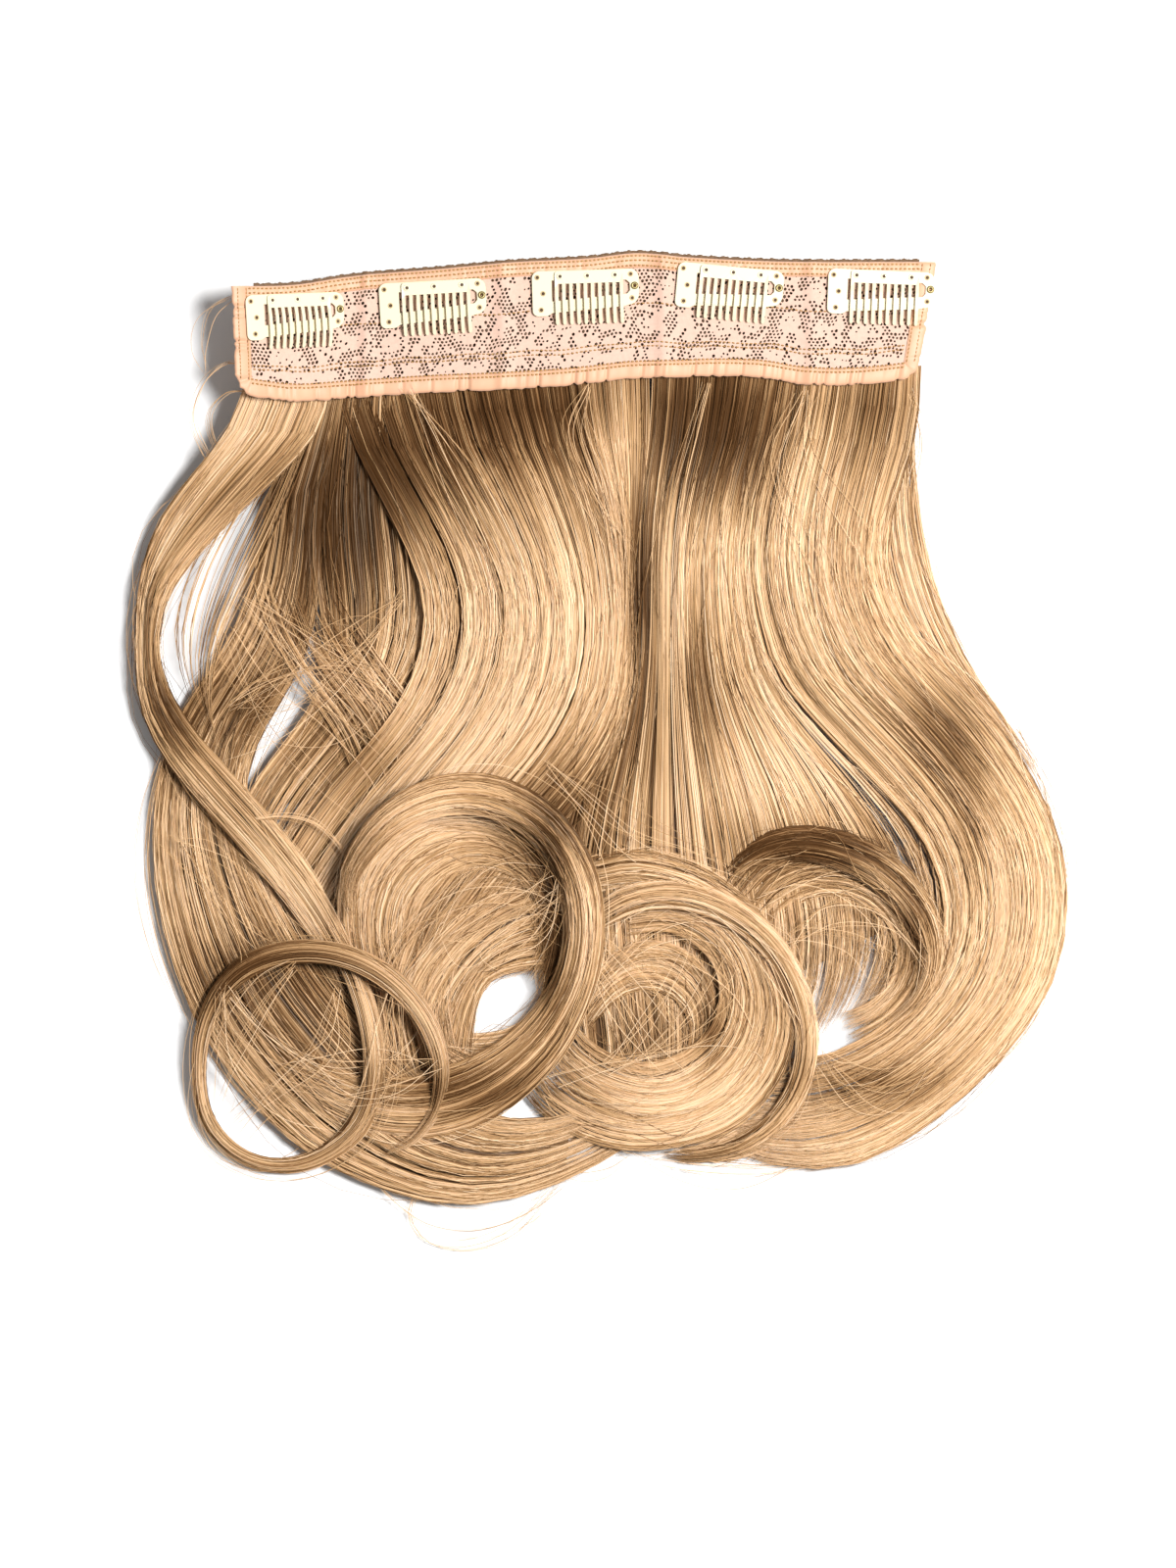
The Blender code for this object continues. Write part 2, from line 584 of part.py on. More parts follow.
def binding():
    """Six-sided ruffled section swept along the U: inner edge, crown and thin outer edge."""
    path = binding_path()
    half = BINDING_THICKNESS / 2
    vertices = []
    for step, (inner, outer) in enumerate(path):
        ruffle = RUFFLE_HEIGHT * (1.0 if step % 2 else -1.0) * (0.6 + 0.4 * math.sin(step * 1.7))
        middle = (inner[0] * 0.45 + outer[0] * 0.55, inner[1] * 0.45 + outer[1] * 0.55)
        near = strip_point(*inner)
        crown = strip_point(*middle)
        edge = strip_point(*outer)
        edge.z += ruffle * 0.5
        vertices += [near + Vector((0, 0, half * 0.75)), crown + Vector((0, 0, half + 0.35 * ruffle)),
                     edge + Vector((0, 0, half * 0.55)), edge - Vector((0, 0, half * 0.55)),
                     crown - Vector((0, 0, half)), near - Vector((0, 0, half * 0.75))]
    faces = []
    for row in range(len(path) - 1):
        for corner in range(6):
            following = (corner + 1) % 6
            faces.append((row * 6 + corner, row * 6 + following, row * 6 + 6 + following, row * 6 + 6 + corner))
    for row in (0, len(path) - 1):
        faces.append((row * 6, row * 6 + 1, row * 6 + 4, row * 6 + 5))
        faces.append((row * 6 + 1, row * 6 + 2, row * 6 + 3, row * 6 + 4))
    return finish("edge_binding", vertices, faces, SATIN_COLOUR)


binding()


# Clips: flat sheet shapes cut from outlines, then laid on the strip.
def inside(point, ring):
    hit = False
    for index, first in enumerate(ring):
        second = ring[index - 1]
        if (first[1] > point[1]) != (second[1] > point[1]):
            cross = first[0] + (point[1] - first[1]) / (second[1] - first[1]) * (second[0] - first[0])
            if point[0] < cross:
                hit = not hit
    return hit


def sheet_solid(name, rings, thickness, rise, place, base, colour, origin=(0.0, 0.0, 0.0)):
    """Closed solid from a flat outline with holes; rise gives the height of each point's underside."""
    points = [Vector(point) for ring in rings for point in ring]
    edges = []
    start = 0
    for ring in rings:
        edges += [(start + index, start + (index + 1) % len(ring)) for index in range(len(ring))]
        start += len(ring)
    found, _, triangles, _, _, _ = delaunay_2d_cdt(points, edges, [], 0, 1e-7)
    kept = []
    for triangle in triangles:
        middle = sum((found[index] for index in triangle), Vector((0.0, 0.0))) / 3
        if inside(middle, rings[0]) and not any(inside(middle, ring) for ring in rings[1:]):
            kept.append(tuple(triangle))
    count = len(found)
    low = [place(point[0], point[1], base + rise(point[1])) for point in found]
    high = [place(point[0], point[1], base + rise(point[1]) + thickness) for point in found]
    faces = [tuple(reversed(face)) for face in kept] + [tuple(index + count for index in face) for face in kept]
    sides = {}
    for face in kept:
        for corner in range(3):
            sides[(face[corner], face[(corner + 1) % 3])] = True
    for first, second in sides:
        if (second, first) not in sides:
            faces.append((first, second, second + count, first + count))
    return finish(name, low + high, faces, colour, False, origin)


def round_ring(centre, radius, sides):
    return [(centre[0] + radius * math.cos(math.tau * step / sides + 0.2),
             centre[1] + radius * math.sin(math.tau * step / sides + 0.2)) for step in range(sides)]


def corner(centre, radius, first, steps=3):
    return [(centre[0] + radius * math.cos(math.radians(first + 90.0 * step / steps)),
             centre[1] + radius * math.sin(math.radians(first + 90.0 * step / steps))) for step in range(steps + 1)]


def frame_rings():
    """Frame outline and its cut-outs; u to the right and v down from the upper left corner."""
    right_tall = CLIP_HEIGHT - 3.1 * MM
    bar = CLIP_LENGTH - RIGHT_BAR_WIDTH
    outline = corner((2.5 * MM, 2.5 * MM), 2.5 * MM, 180.0)
    outline += corner((CLIP_LENGTH - 3.2 * MM, 3.2 * MM), 3.2 * MM, 270.0)
    outline += corner((CLIP_LENGTH - 4.0 * MM, right_tall - 4.0 * MM), 4.0 * MM, 0.0)
    outline += [(COMB_INSET + COMB_LENGTH, CLIP_HEIGHT - 2.7 * MM), (LEFT_PLATE_WIDTH, CLIP_HEIGHT - 1.0 * MM)]
    outline += corner((4.7 * MM, CLIP_HEIGHT - 2.0 * MM), 2.0 * MM, 30.0, 2)[1:]
    outline += corner((2.0 * MM, CLIP_HEIGHT - 2.0 * MM), 2.0 * MM, 90.0)
    window = [(LEFT_PLATE_WIDTH, 3.4 * MM), (bar - 1.2 * MM, 3.9 * MM), (bar, 5.0 * MM), (bar, 7.6 * MM),
              (bar - 1.0 * MM, 8.7 * MM), (LEFT_PLATE_WIDTH, CLIP_HEIGHT - 5.1 * MM)]
    rings = [outline, window]
    for centre in ((1.9 * MM, 2.2 * MM), (3.8 * MM, 7.9 * MM), (3.0 * MM, 13.6 * MM)):
        rings.append(round_ring(centre, HOLE_RADIUS, 6))
    for inset, down in ((2.8 * MM, 1.9 * MM), (2.5 * MM, 10.3 * MM)):
        rings.append(round_ring((CLIP_LENGTH - inset, down), HOLE_RADIUS * 0.8, 6))
    rings.append(round_ring(EYELET_AT, EYELET_BARREL + PIECE_GAP, 8))
    return rings


EYELET_AT = (CLIP_LENGTH - 1.5 * MM, 6.0 * MM)


def comb_rings():
    """Comb outline with its teeth, and the three sewing holes in its bar."""
    left = COMB_INSET
    right = COMB_INSET + COMB_LENGTH
    root = COMB_TOP + COMB_BAR
    pitch = (COMB_LENGTH - TOOTH_WIDTH) / (COMB_TEETH - 1)
    outline = [(left, COMB_TOP + 1.0 * MM), (left + 1.0 * MM, COMB_TOP), (right - 1.0 * MM, COMB_TOP),
               (right, COMB_TOP + 1.0 * MM)]
    stations = [COMB_TOP + share * COMB_DROP for share, rise in TOOTH_RISE[2:-1]]
    tip = COMB_TOP + COMB_DROP
    for tooth in reversed(range(COMB_TEETH)):
        near = left + tooth * pitch
        far = near + TOOTH_WIDTH
        if tooth < COMB_TEETH - 1:
            outline.append((far, root))
        outline += [(far, station) for station in stations]
        outline += [(far - TOOTH_WIDTH * 0.25, tip), (near + TOOTH_WIDTH * 0.25, tip)]
        outline += [(near, station) for station in reversed(stations)]
        if tooth > 0:
            outline.append((near, root))
    rings = [outline]
    for share in (0.08, 0.48, 0.885):
        rings.append(round_ring((left + share * COMB_LENGTH, 2.1 * MM), COMB_HOLE_RADIUS, 6))
    return rings


RISE_ROWS = np.array(TOOTH_RISE)


def tooth_rise(v):
    return TOOTH_HEIGHT * float(np.interp((v - COMB_TOP) / COMB_DROP, RISE_ROWS[:, 0], RISE_ROWS[:, 1]))


def eyelet(name, place, base):
    """Flanged eyelet: a barrel through the frame's hole with a wider flange over it, bored through."""
    profile = ((EYELET_BORE, base - CLIP_SHEET - 0.2 * MM), (EYELET_BARREL, base - CLIP_SHEET - 0.2 * MM),
               (EYELET_BARREL, base + PIECE_GAP), (EYELET_RADIUS, base + PIECE_GAP),
               (EYELET_RADIUS * 0.7, base + PIECE_GAP + 0.6 * MM), (EYELET_BORE, base + PIECE_GAP + 0.3 * MM))
    vertices = []
    sides = 8
    for step in range(sides):
        angle = math.tau * step / sides
        for radius, height in profile:
            vertices.append(place(EYELET_AT[0] + radius * math.cos(angle),
                                  EYELET_AT[1] + radius * math.sin(angle), height))
    faces = []
    count = len(profile)
    for step in range(sides):
        following = (step + 1) % sides
        for row in range(count):
            up = (row + 1) % count
            faces.append((step * count + row, following * count + row, following * count + up, step * count + up))
    return finish(name, vertices, faces, EYELET_COLOUR)


def clip_placer(along, raised, turn):
    """Function that lays clip coordinates (right, down, up) on the strip, in its slope and turn."""
    centre_x = STRIP_LEFT_X + along * STRIP_LENGTH
    slope = (lift_at(centre_x + 5.0 * MM) - lift_at(centre_x - 5.0 * MM)) / (10.0 * MM)
    angle = math.radians(turn)
    right = Vector((math.cos(angle), math.sin(angle), slope * math.cos(angle))).normalized()
    up_strip = Vector((-math.sin(angle), math.cos(angle), -slope * math.sin(angle))).normalized()
    normal = right.cross(up_strip).normalized()
    up_strip = normal.cross(right)
    top = Vector((centre_x + CENTRE_SHIFT_X, STRIP_LINE_Y + raised * STRIP_HEIGHT + CENTRE_SHIFT_Y, lift_at(centre_x)))

    def place(u, v, w):
        return top + right * (u - CLIP_LENGTH / 2) - up_strip * v + normal * w

    return place


for number, (along, raised, turn) in enumerate(CLIPS, 1):
    place = clip_placer(along, raised, turn)
    frame_base = BINDING_THICKNESS / 2 + RUFFLE_HEIGHT * 0.35 + PIECE_GAP
    comb_base = frame_base + CLIP_SHEET + PIECE_GAP
    sheet_solid(f"clip_frame_{number}", frame_rings(), CLIP_SHEET, lambda v: 0.0, place, frame_base, ENAMEL_COLOUR)
    hinge = place(COMB_INSET + COMB_LENGTH / 2, COMB_TOP, comb_base)
    sheet_solid(f"clip_comb_{number}", comb_rings(), COMB_THICKNESS, tooth_rise, place, comb_base,
                ENAMEL_COLOUR, hinge)
    eyelet(f"clip_rivet_{number}", place, frame_base + CLIP_SHEET)


# Hair: locks lofted along smooth curves, joined into one body.
def smooth_rows(rows, step):
    """Even sections on a smooth curve through a lock's rows."""
    rows = np.array([(world_x(across), world_y(down), width * HAIR_SPAN, crown * HAIR_DEPTH, foot * HAIR_DEPTH)
                     for across, down, width, crown, foot in rows])
    dense = []
    padded = np.vstack([2 * rows[0] - rows[1], rows, 2 * rows[-1] - rows[-2]])
    for index in range(1, len(padded) - 2):
        before, first, second, after = padded[index - 1:index + 3]
        for part in range(8):
            share = part / 8
            dense.append(0.5 * (2 * first + (second - before) * share
                                + (2 * before - 5 * first + 4 * second - after) * share**2
                                + (3 * first - before - 3 * second + after) * share**3))
    dense.append(rows[-1])
    dense = np.array(dense)
    reach = np.concatenate([[0.0], np.cumsum(np.hypot(*np.diff(dense[:, :2], axis=0).T))])
    count = max(3, round(reach[-1] / step))
    at = np.linspace(0.0, reach[-1], count + 1)
    return np.array([np.interp(at, reach, dense[:, column]) for column in range(5)]).T


def lock_mesh(name, ridges, step, rows):
    sections = smooth_rows(rows, step * HAIR_SPAN)
    headings = np.gradient(sections[:, :2], axis=0)
    headings /= np.linalg.norm(headings, axis=1)[:, None]
    crowns = [index / (2 * ridges) for index in range(1, 2 * ridges)]
    profile = [(-0.5, 0.0), (-0.5, 0.42)]
    for index, share in enumerate(crowns):
        side = share - 0.5
        dome = 1.0 - 1.1 * side * side
        profile.append((side, dome if index % 2 == 0 else dome - 0.17))
    profile += [(0.5, 0.42), (0.5, 0.0)]
    vertices = []
    for (x, y, width, crown, foot), (along_x, along_y) in zip(sections, headings):
        under = foot if foot > 0.6 * MM else -LOCK_OVERLAP
        tall = max(crown - max(foot, 0.0), 1.5 * MM)
        for side, share in profile:
            height = max(foot, 0.0) + share * tall if share > 0.0 else under
            vertices.append((x - along_y * side * width, y + along_x * side * width, height))
    count = len(profile)
    faces = []
    for row in range(len(sections) - 1):
        for index in range(count):
            following = (index + 1) % count
            faces.append((row * count + index, row * count + following,
                          (row + 1) * count + following, (row + 1) * count + index))
    faces.append(tuple(range(count)))
    faces.append(tuple((len(sections) - 1) * count + index for index in range(count)))
    made = finish(name, vertices, faces, HAIR_COLOUR)
    work = bmesh.new()
    work.from_mesh(made.data)
    bmesh.ops.triangulate(work, faces=work.faces)
    bmesh.ops.recalc_face_normals(work, faces=work.faces)
    work.to_mesh(made.data)
    work.free()
    return made


def joined(target, tool, operation):
    """Apply one Boolean to the target's mesh and remove the tool."""
    change = target.modifiers.new("join", "BOOLEAN")
    change.object = tool
    change.operation = operation
    change.solver = "EXACT"
    depsgraph = bpy.context.evaluated_depsgraph_get()
    mesh = bpy.data.meshes.new_from_object(target.evaluated_get(depsgraph))
    target.modifiers.remove(change)
    target.data = mesh
    bpy.data.objects.remove(tool, do_unlink=True)


def root_layer():
    """Hair under the strip, where the wefts are sewn: follows the strip's rise, flat to the table elsewhere."""
    vertices = []
    alongs = spread(0.012, 0.985, 16)
    for along in alongs:
        tall = strip_tall(along)
        for down in (1.2 * MM / tall, 1.0 + 1.0 * MM / tall):
            top = strip_point(along, down, -3.2 * MM, False)
            bottom = top.copy()
            bottom.z = max(top.z - 7.0 * MM, 0.0) if top.z > 9.0 * MM else -LOCK_OVERLAP
            vertices += [top, bottom]
    faces = []
    for row in range(len(alongs) - 1):
        start = row * 4
        for first, second in ((0, 1), (1, 3), (3, 2), (2, 0)):
            faces.append((start + first, start + second, start + 4 + second, start + 4 + first))
    faces.append((0, 1, 3, 2))
    end = (len(alongs) - 1) * 4
    faces.append((end, end + 1, end + 3, end + 2))
    made = finish("hair", vertices, faces, HAIR_COLOUR)
    work = bmesh.new()
    work.from_mesh(made.data)
    bmesh.ops.triangulate(work, faces=work.faces)
    work.to_mesh(made.data)
    work.free()
    return made


hair = root_layer()
for name, ridges, step, rows in LOCKS:
    joined(hair, lock_mesh(name, ridges, step, rows), "UNION")


def clearance(name, near, far, bottom):
    """Space kept free of hair for the strip: from just under it to well above it."""
    alongs = spread(-0.01, 1.01, 32)
    tool = slab(name, alongs, lambda along: [near, far], bottom, CLEAR_HEIGHT, HAIR_COLOUR, False, False)
    work = bmesh.new()
    work.from_mesh(tool.data)
    bmesh.ops.triangulate(work, faces=work.faces)
    work.to_mesh(tool.data)
    work.free()
    return tool


joined(hair, clearance("strip_space", -0.06, 1.012, -BINDING_THICKNESS / 2 - 3 * PIECE_GAP), "DIFFERENCE")
joined(hair, clearance("track_space", -0.07, 0.16, TRACK_TOP - TRACK_THICKNESS - 3 * PIECE_GAP),
       "DIFFERENCE")
bpy.ops.mesh.primitive_cube_add(size=1.0, location=(0.0, 0.0, -0.5))
joined(hair, bpy.context.active_object, "DIFFERENCE")


def keep_outer_body(target):
    """Keep the largest connected shell, dissolve flat seams and leave triangles."""
    work = bmesh.new()
    work.from_mesh(target.data)
    bmesh.ops.remove_doubles(work, verts=work.verts, dist=0.00002)
    left = set(work.faces)
    shells = []
    while left:
        stack = [left.pop()]
        shell = list(stack)
        while stack:
            face = stack.pop()
            for edge in face.edges:
                if len(edge.link_faces) > 2:
                    continue
                for other in edge.link_faces:
                    if other in left:
                        left.remove(other)
                        stack.append(other)
                        shell.append(other)
        shells.append(shell)
    shells.sort(key=len)
    for shell in shells[:-1]:
        bmesh.ops.delete(work, geom=list({vert for face in shell for vert in face.verts}), context="VERTS")
    bmesh.ops.dissolve_limit(work, angle_limit=math.radians(1.2), verts=work.verts, edges=work.edges)
    bmesh.ops.triangulate(work, faces=work.faces)
    work.to_mesh(target.data)
    work.free()


keep_outer_body(hair)
hair.data.materials.clear()
hair.data.materials.append(HAIR_COLOUR)
for polygon in hair.data.polygons:
    polygon.use_smooth = False
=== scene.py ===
"""Clip-in hair extension: strands, lace strip, bindings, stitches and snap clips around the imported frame."""
import math

import bmesh
import bpy
import numpy as np
from bpy.props import BoolProperty, FloatProperty, FloatVectorProperty, IntProperty, PointerProperty
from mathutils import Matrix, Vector
from mathutils.geometry import delaunay_2d_cdt


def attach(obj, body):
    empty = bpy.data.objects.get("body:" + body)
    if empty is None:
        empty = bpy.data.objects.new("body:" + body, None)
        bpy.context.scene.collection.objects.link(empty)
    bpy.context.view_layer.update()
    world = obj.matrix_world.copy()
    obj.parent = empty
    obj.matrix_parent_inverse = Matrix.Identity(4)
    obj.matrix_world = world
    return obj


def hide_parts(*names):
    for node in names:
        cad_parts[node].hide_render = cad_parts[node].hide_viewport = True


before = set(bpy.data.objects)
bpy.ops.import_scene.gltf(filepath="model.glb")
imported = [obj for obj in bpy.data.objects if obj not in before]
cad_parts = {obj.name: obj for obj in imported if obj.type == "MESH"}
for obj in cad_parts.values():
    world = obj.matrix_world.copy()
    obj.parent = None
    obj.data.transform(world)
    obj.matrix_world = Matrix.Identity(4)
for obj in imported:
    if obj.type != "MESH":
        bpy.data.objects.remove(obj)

bl_info = {
    "name": "Clip-in Hair Extension",
    "version": (1, 0, 0),
    "blender": (4, 5, 0),
    "location": "View3D > Sidebar > Hairpiece",
    "description": "Builds the looks of a clip-in hair extension around its packed frame",
    "category": "Object",
}

MM = 0.001
# The plan's zero lies on the strip's lower line, above the middle of the hair.
PLAN_X = 0.17
PLAN_Y = 121.0

# Sheets of hair: name, strands, clumps, spacing along a strand (mm), how far its strands' starts and ends
# are staggered (shares of the length), and guides from one edge to the other. A guide is a row of stations:
# across, up and height, in mm on the plan.
SHEETS = (
    ("centre", 3400, 110, 14, (0.0, 0.16), (
        ((-94.2, 1.4, 7), (-86.6, -22.3, 12), (-73.6, -46.3, 15), (-64.0, -68.6, 16), 
         (-61.9, -85.8, 16), (-67.4, -106.3, 15), (-80.4, -125.2, 14), (-98.3, -145.8, 12), 
         (-113.0, -168.1, 10), (-123.0, -188.7, 8), (-126.4, -209.2, 8), (-120.9, -229.8, 7)),
        ((-65.0, 2.1, 7), (-59.9, -20.6, 14), (-47.8, -42.9, 17), (-36.5, -65.2, 18), 
         (-34.1, -85.8, 18), (-39.3, -108.0, 16), (-52.3, -128.6, 15), (-71.9, -150.9, 12), 
         (-89.0, -173.2, 10), (-100.3, -193.8, 8), (-105.1, -216.1, 8), (-100.3, -238.4, 7)),
        ((-37.6, 2.7, 7), (-32.4, -19.2, 15), (-22.1, -41.8, 18), (-13.5, -65.2, 19), 
         (-11.1, -85.8, 19), (-15.3, -109.8, 17), (-29.0, -132.1, 15), (-49.6, -154.4, 12), 
         (-68.4, -176.6, 10), (-81.1, -198.9, 8), (-84.5, -221.2, 8), (-80.4, -242.8, 7)),
        ((-8.4, 4.1, 7), (-5.0, -19.2, 15), (2.6, -42.9, 18), (6.0, -65.2, 18), (6.3, -85.8, 18), 
         (2.6, -111.5, 17), (-10.1, -133.8, 15), (-30.7, -156.1, 12), (-51.3, -179.0, 10), 
         (-65.0, -202.4, 8), (-68.8, -224.7, 8), (-63.3, -245.2, 7)),
        ((16.3, 5.5, 7), (16.3, -19.2, 12), (13.9, -42.9, 13), (11.1, -65.2, 12), (10.5, -85.8, 12), 
         (9.4, -111.5, 13), (0.2, -135.5, 13), (-16.6, -157.8, 11), (-36.5, -180.1, 9), 
         (-50.9, -202.4, 8), (-53.7, -224.7, 8), (-46.1, -245.2, 7)),
    )),
    ("right_inner", 2150, 70, 14, (0.0, 0.14), (
        ((17.7, 5.5, 7), (16.6, -17.2, 12), (13.9, -37.7, 13), (12.9, -58.3, 12), (12.9, -78.9, 12), 
         (11.5, -102.9, 13), (6.7, -126.9, 12), (0.5, -150.9, 11), (-2.2, -174.9, 10), 
         (-1.5, -198.9, 8), (2.6, -224.7, 8), (12.2, -248.7, 6)),
        ((41.3, 5.5, 7), (38.6, -17.2, 15), (33.4, -37.7, 18), (30.0, -58.3, 19), (29.3, -78.9, 18), 
         (30.0, -102.9, 16), (32.8, -126.9, 14), (36.9, -150.9, 12), (40.3, -174.9, 10), 
         (42.4, -198.9, 8), (41.0, -226.4, 8), (34.5, -253.8, 6)),
        ((53.3, 5.5, 7), (49.2, -17.2, 15), (43.7, -37.7, 18), (40.3, -58.3, 19), (41.0, -78.9, 18), 
         (44.4, -102.9, 16), (52.7, -125.2, 14), (61.9, -145.8, 12), (67.7, -168.1, 10), 
         (71.9, -192.1, 8), (69.8, -216.1, 7), (60.2, -240.1, 5)),
        ((64.3, 5.5, 7), (60.2, -17.2, 15), (54.4, -37.7, 18), (51.3, -58.3, 19), (53.3, -78.9, 18), 
         (60.5, -102.9, 16), (76.0, -122.5, 14), (93.5, -140.3, 12), (108.9, -158.8, 11), 
         (116.8, -179.0, 10), (114.4, -198.3, 8), (103.1, -212.7, 7)),
    )),
    ("right_outer", 2500, 85, 15, (0.0, 0.16), (
        ((63.6, 5.5, 7), (59.5, -17.2, 15), (53.7, -37.7, 18), (50.9, -58.3, 19), (53.0, -78.9, 18), 
         (60.2, -102.9, 17), (76.7, -122.8, 15), (94.5, -140.6, 14), (111.0, -158.5, 14), 
         (119.2, -180.1, 14), (117.8, -200.7, 13), (106.5, -217.8, 12), (91.1, -229.1, 11), 
         (76.7, -236.0, 9), (63.6, -236.7, 7), (51.6, -233.2, 5)),
        ((80.8, 4.8, 7), (77.3, -17.2, 15), (71.9, -37.7, 19), (68.8, -58.3, 20), (71.2, -78.9, 19), 
         (80.8, -102.2, 18), (99.0, -120.7, 17), (115.8, -138.9, 16), (128.8, -158.5, 16), 
         (133.6, -181.8, 16), (130.2, -204.1, 15), (116.8, -223.6, 14), (97.9, -239.4, 12), 
         (77.3, -247.6, 10), (58.5, -248.7, 8), (39.6, -245.2, 5)),
        ((97.9, 4.8, 7), (94.5, -17.2, 14), (89.0, -37.7, 18), (84.9, -58.3, 19), (87.6, -78.2, 18), 
         (98.6, -99.5, 18), (117.1, -118.3, 17), (132.9, -137.9, 16), (145.3, -159.5, 16), 
         (148.7, -183.5, 16), (143.9, -208.5, 15), (128.8, -230.5, 14), (106.5, -248.7, 12), 
         (80.8, -260.0, 10), (56.8, -262.4, 8), (34.5, -257.2, 5)),
        ((112.0, 6.2, 7), (110.3, -17.2, 9), (104.1, -37.7, 10), (99.6, -58.3, 10), (103.4, -74.8, 10), 
         (115.1, -94.3, 10), (133.9, -113.9, 10), (149.4, -135.5, 10), (160.4, -159.5, 10), 
         (163.1, -183.5, 10), (158.3, -209.2, 9), (142.5, -233.9, 8), (119.2, -256.6, 7), 
         (92.8, -273.0, 6), (67.1, -275.8, 5), (43.0, -269.6, 3)),
    )),
    ("left_inner", 1500, 52, 15, (0.0, 0.07), (
        ((-101.7, 1.4, 9), (-107.9, -17.2, 10), (-116.8, -37.7, 9), (-120.2, -58.3, 8), 
         (-125.7, -78.9, 8), (-136.7, -99.5, 7), (-148.3, -115.9, 6), (-155.6, -133.8, 6), 
         (-157.6, -152.6, 7), (-157.6, -171.5, 7), (-153.1, -195.5, 7), (-143.9, -221.2, 7), 
         (-128.5, -245.2, 7), (-107.9, -266.9, 7), (-82.1, -280.6, 7), (-54.7, -288.1, 7), 
         (-29.0, -285.7, 6), (-5.0, -276.1, 5), (12.2, -265.8, 3)),
        ((-95.5, 1.4, 8), (-100.3, -18.9, 11), (-106.5, -39.4, 10), (-108.2, -60.0, 9), 
         (-112.0, -80.6, 9), (-121.6, -100.2, 8), (-134.6, -119.4, 7), (-140.5, -137.2, 8), 
         (-140.5, -154.4, 10), (-137.0, -171.5, 11), (-130.2, -193.8, 11), (-118.8, -216.1, 11), 
         (-102.7, -236.7, 11), (-85.6, -255.5, 10), (-65.0, -269.3, 10), (-41.0, -275.1, 10), 
         (-20.4, -272.0, 8), (-0.9, -264.1, 6), (12.2, -256.6, 4)),
        ((-90.0, 1.4, 8), (-93.1, -18.9, 11), (-97.6, -39.4, 11), (-98.6, -60.0, 10), 
         (-99.6, -80.6, 10), (-105.8, -101.2, 9), (-117.5, -120.1, 8), (-125.0, -138.9, 8), 
         (-121.6, -156.1, 10), (-113.4, -173.9, 10), (-103.8, -191.4, 10), (-91.8, -209.2, 10), 
         (-78.0, -226.4, 10), (-64.3, -240.8, 10), (-49.6, -252.1, 9), (-32.4, -257.2, 9), 
         (-17.0, -257.2, 8), (-1.5, -252.1, 6), (10.5, -245.2, 4)),
    )),
    ("left_middle", 900, 36, 12, (0.0, 0.2), (
        ((-94.2, 1.4, 8), (-98.3, -20.6, 10), (-101.7, -41.2, 10), (-102.4, -61.7, 10), 
         (-99.0, -82.3, 10), (-97.6, -102.9, 10), (-108.6, -121.8, 9), (-122.3, -139.6, 9), 
         (-129.8, -157.8, 8), (-128.5, -176.6, 7)),
        ((-76.3, 1.4, 8), (-77.0, -20.6, 11), (-76.3, -41.2, 11), (-73.6, -61.7, 11), 
         (-72.2, -82.3, 11), (-77.7, -102.9, 11), (-91.4, -122.8, 10), (-107.2, -142.3, 9), 
         (-118.2, -162.9, 8), (-117.5, -183.5, 7)),
        ((-59.9, 1.4, 8), (-57.8, -20.6, 11), (-53.0, -41.2, 11), (-48.2, -61.7, 11), 
         (-48.2, -82.3, 11), (-55.7, -104.6, 11), (-72.9, -125.2, 10), (-92.1, -145.8, 9), 
         (-106.2, -168.1, 8), (-106.2, -190.4, 7)),
    )),
    ("crossing", 120, 60, 8, (0.3, 0.35), (
        ((-123.0, -66.9, 9), (-118.2, -84.0, 11), (-107.9, -102.9, 12), (-95.9, -119.4, 13), 
         (-87.3, -136.5, 12), (-86.6, -154.4, 10)),
        ((-107.9, -70.3, 10), (-101.7, -87.5, 12), (-91.4, -103.6, 14), (-80.4, -118.3, 13), 
         (-74.9, -135.5, 13), (-76.3, -152.6, 10)),
        ((-92.4, -72.0, 10), (-83.2, -87.5, 12), (-72.2, -102.9, 14), (-62.6, -116.6, 13), 
         (-58.5, -133.8, 13), (-61.9, -150.9, 10)),
    )),
    ("outer_left", 1000, 30, 10, (0.0, 0.1), (
        ((-123.7, 1.4, 25), (-131.2, -17.2, 21), (-143.5, -32.6, 16), (-155.9, -49.7, 12), 
         (-162.1, -68.6, 10), (-163.4, -89.2, 10), (-162.1, -111.5, 11), (-155.2, -128.6, 12), 
         (-142.2, -145.8, 14), (-125.7, -164.0, 15), (-110.6, -182.5, 14), (-98.3, -199.6, 12), 
         (-90.0, -216.1, 10)),
        ((-109.6, 0.7, 19), (-115.4, -17.2, 19), (-129.1, -33.6, 17), (-144.2, -51.5, 14), 
         (-156.6, -70.3, 13), (-159.3, -89.2, 13), (-157.3, -109.8, 14), (-148.3, -126.9, 15), 
         (-134.3, -143.4, 17), (-118.8, -160.9, 17), (-104.4, -179.4, 16), (-93.5, -197.2, 13), 
         (-85.9, -214.4, 10)),
        ((-94.8, 0.7, 12), (-99.6, -17.2, 13), (-115.4, -35.0, 13), (-136.0, -54.2, 11), 
         (-151.1, -72.7, 10), (-155.9, -89.2, 10), (-151.8, -108.0, 11), (-140.1, -125.2, 12), 
         (-125.7, -141.3, 14), (-111.3, -157.8, 15), (-98.3, -176.6, 14), (-88.7, -194.8, 12), 
         (-82.5, -212.0, 10)),
    )),
    ("loose_right", 230, 60, 12, (0.08, 0.3), (
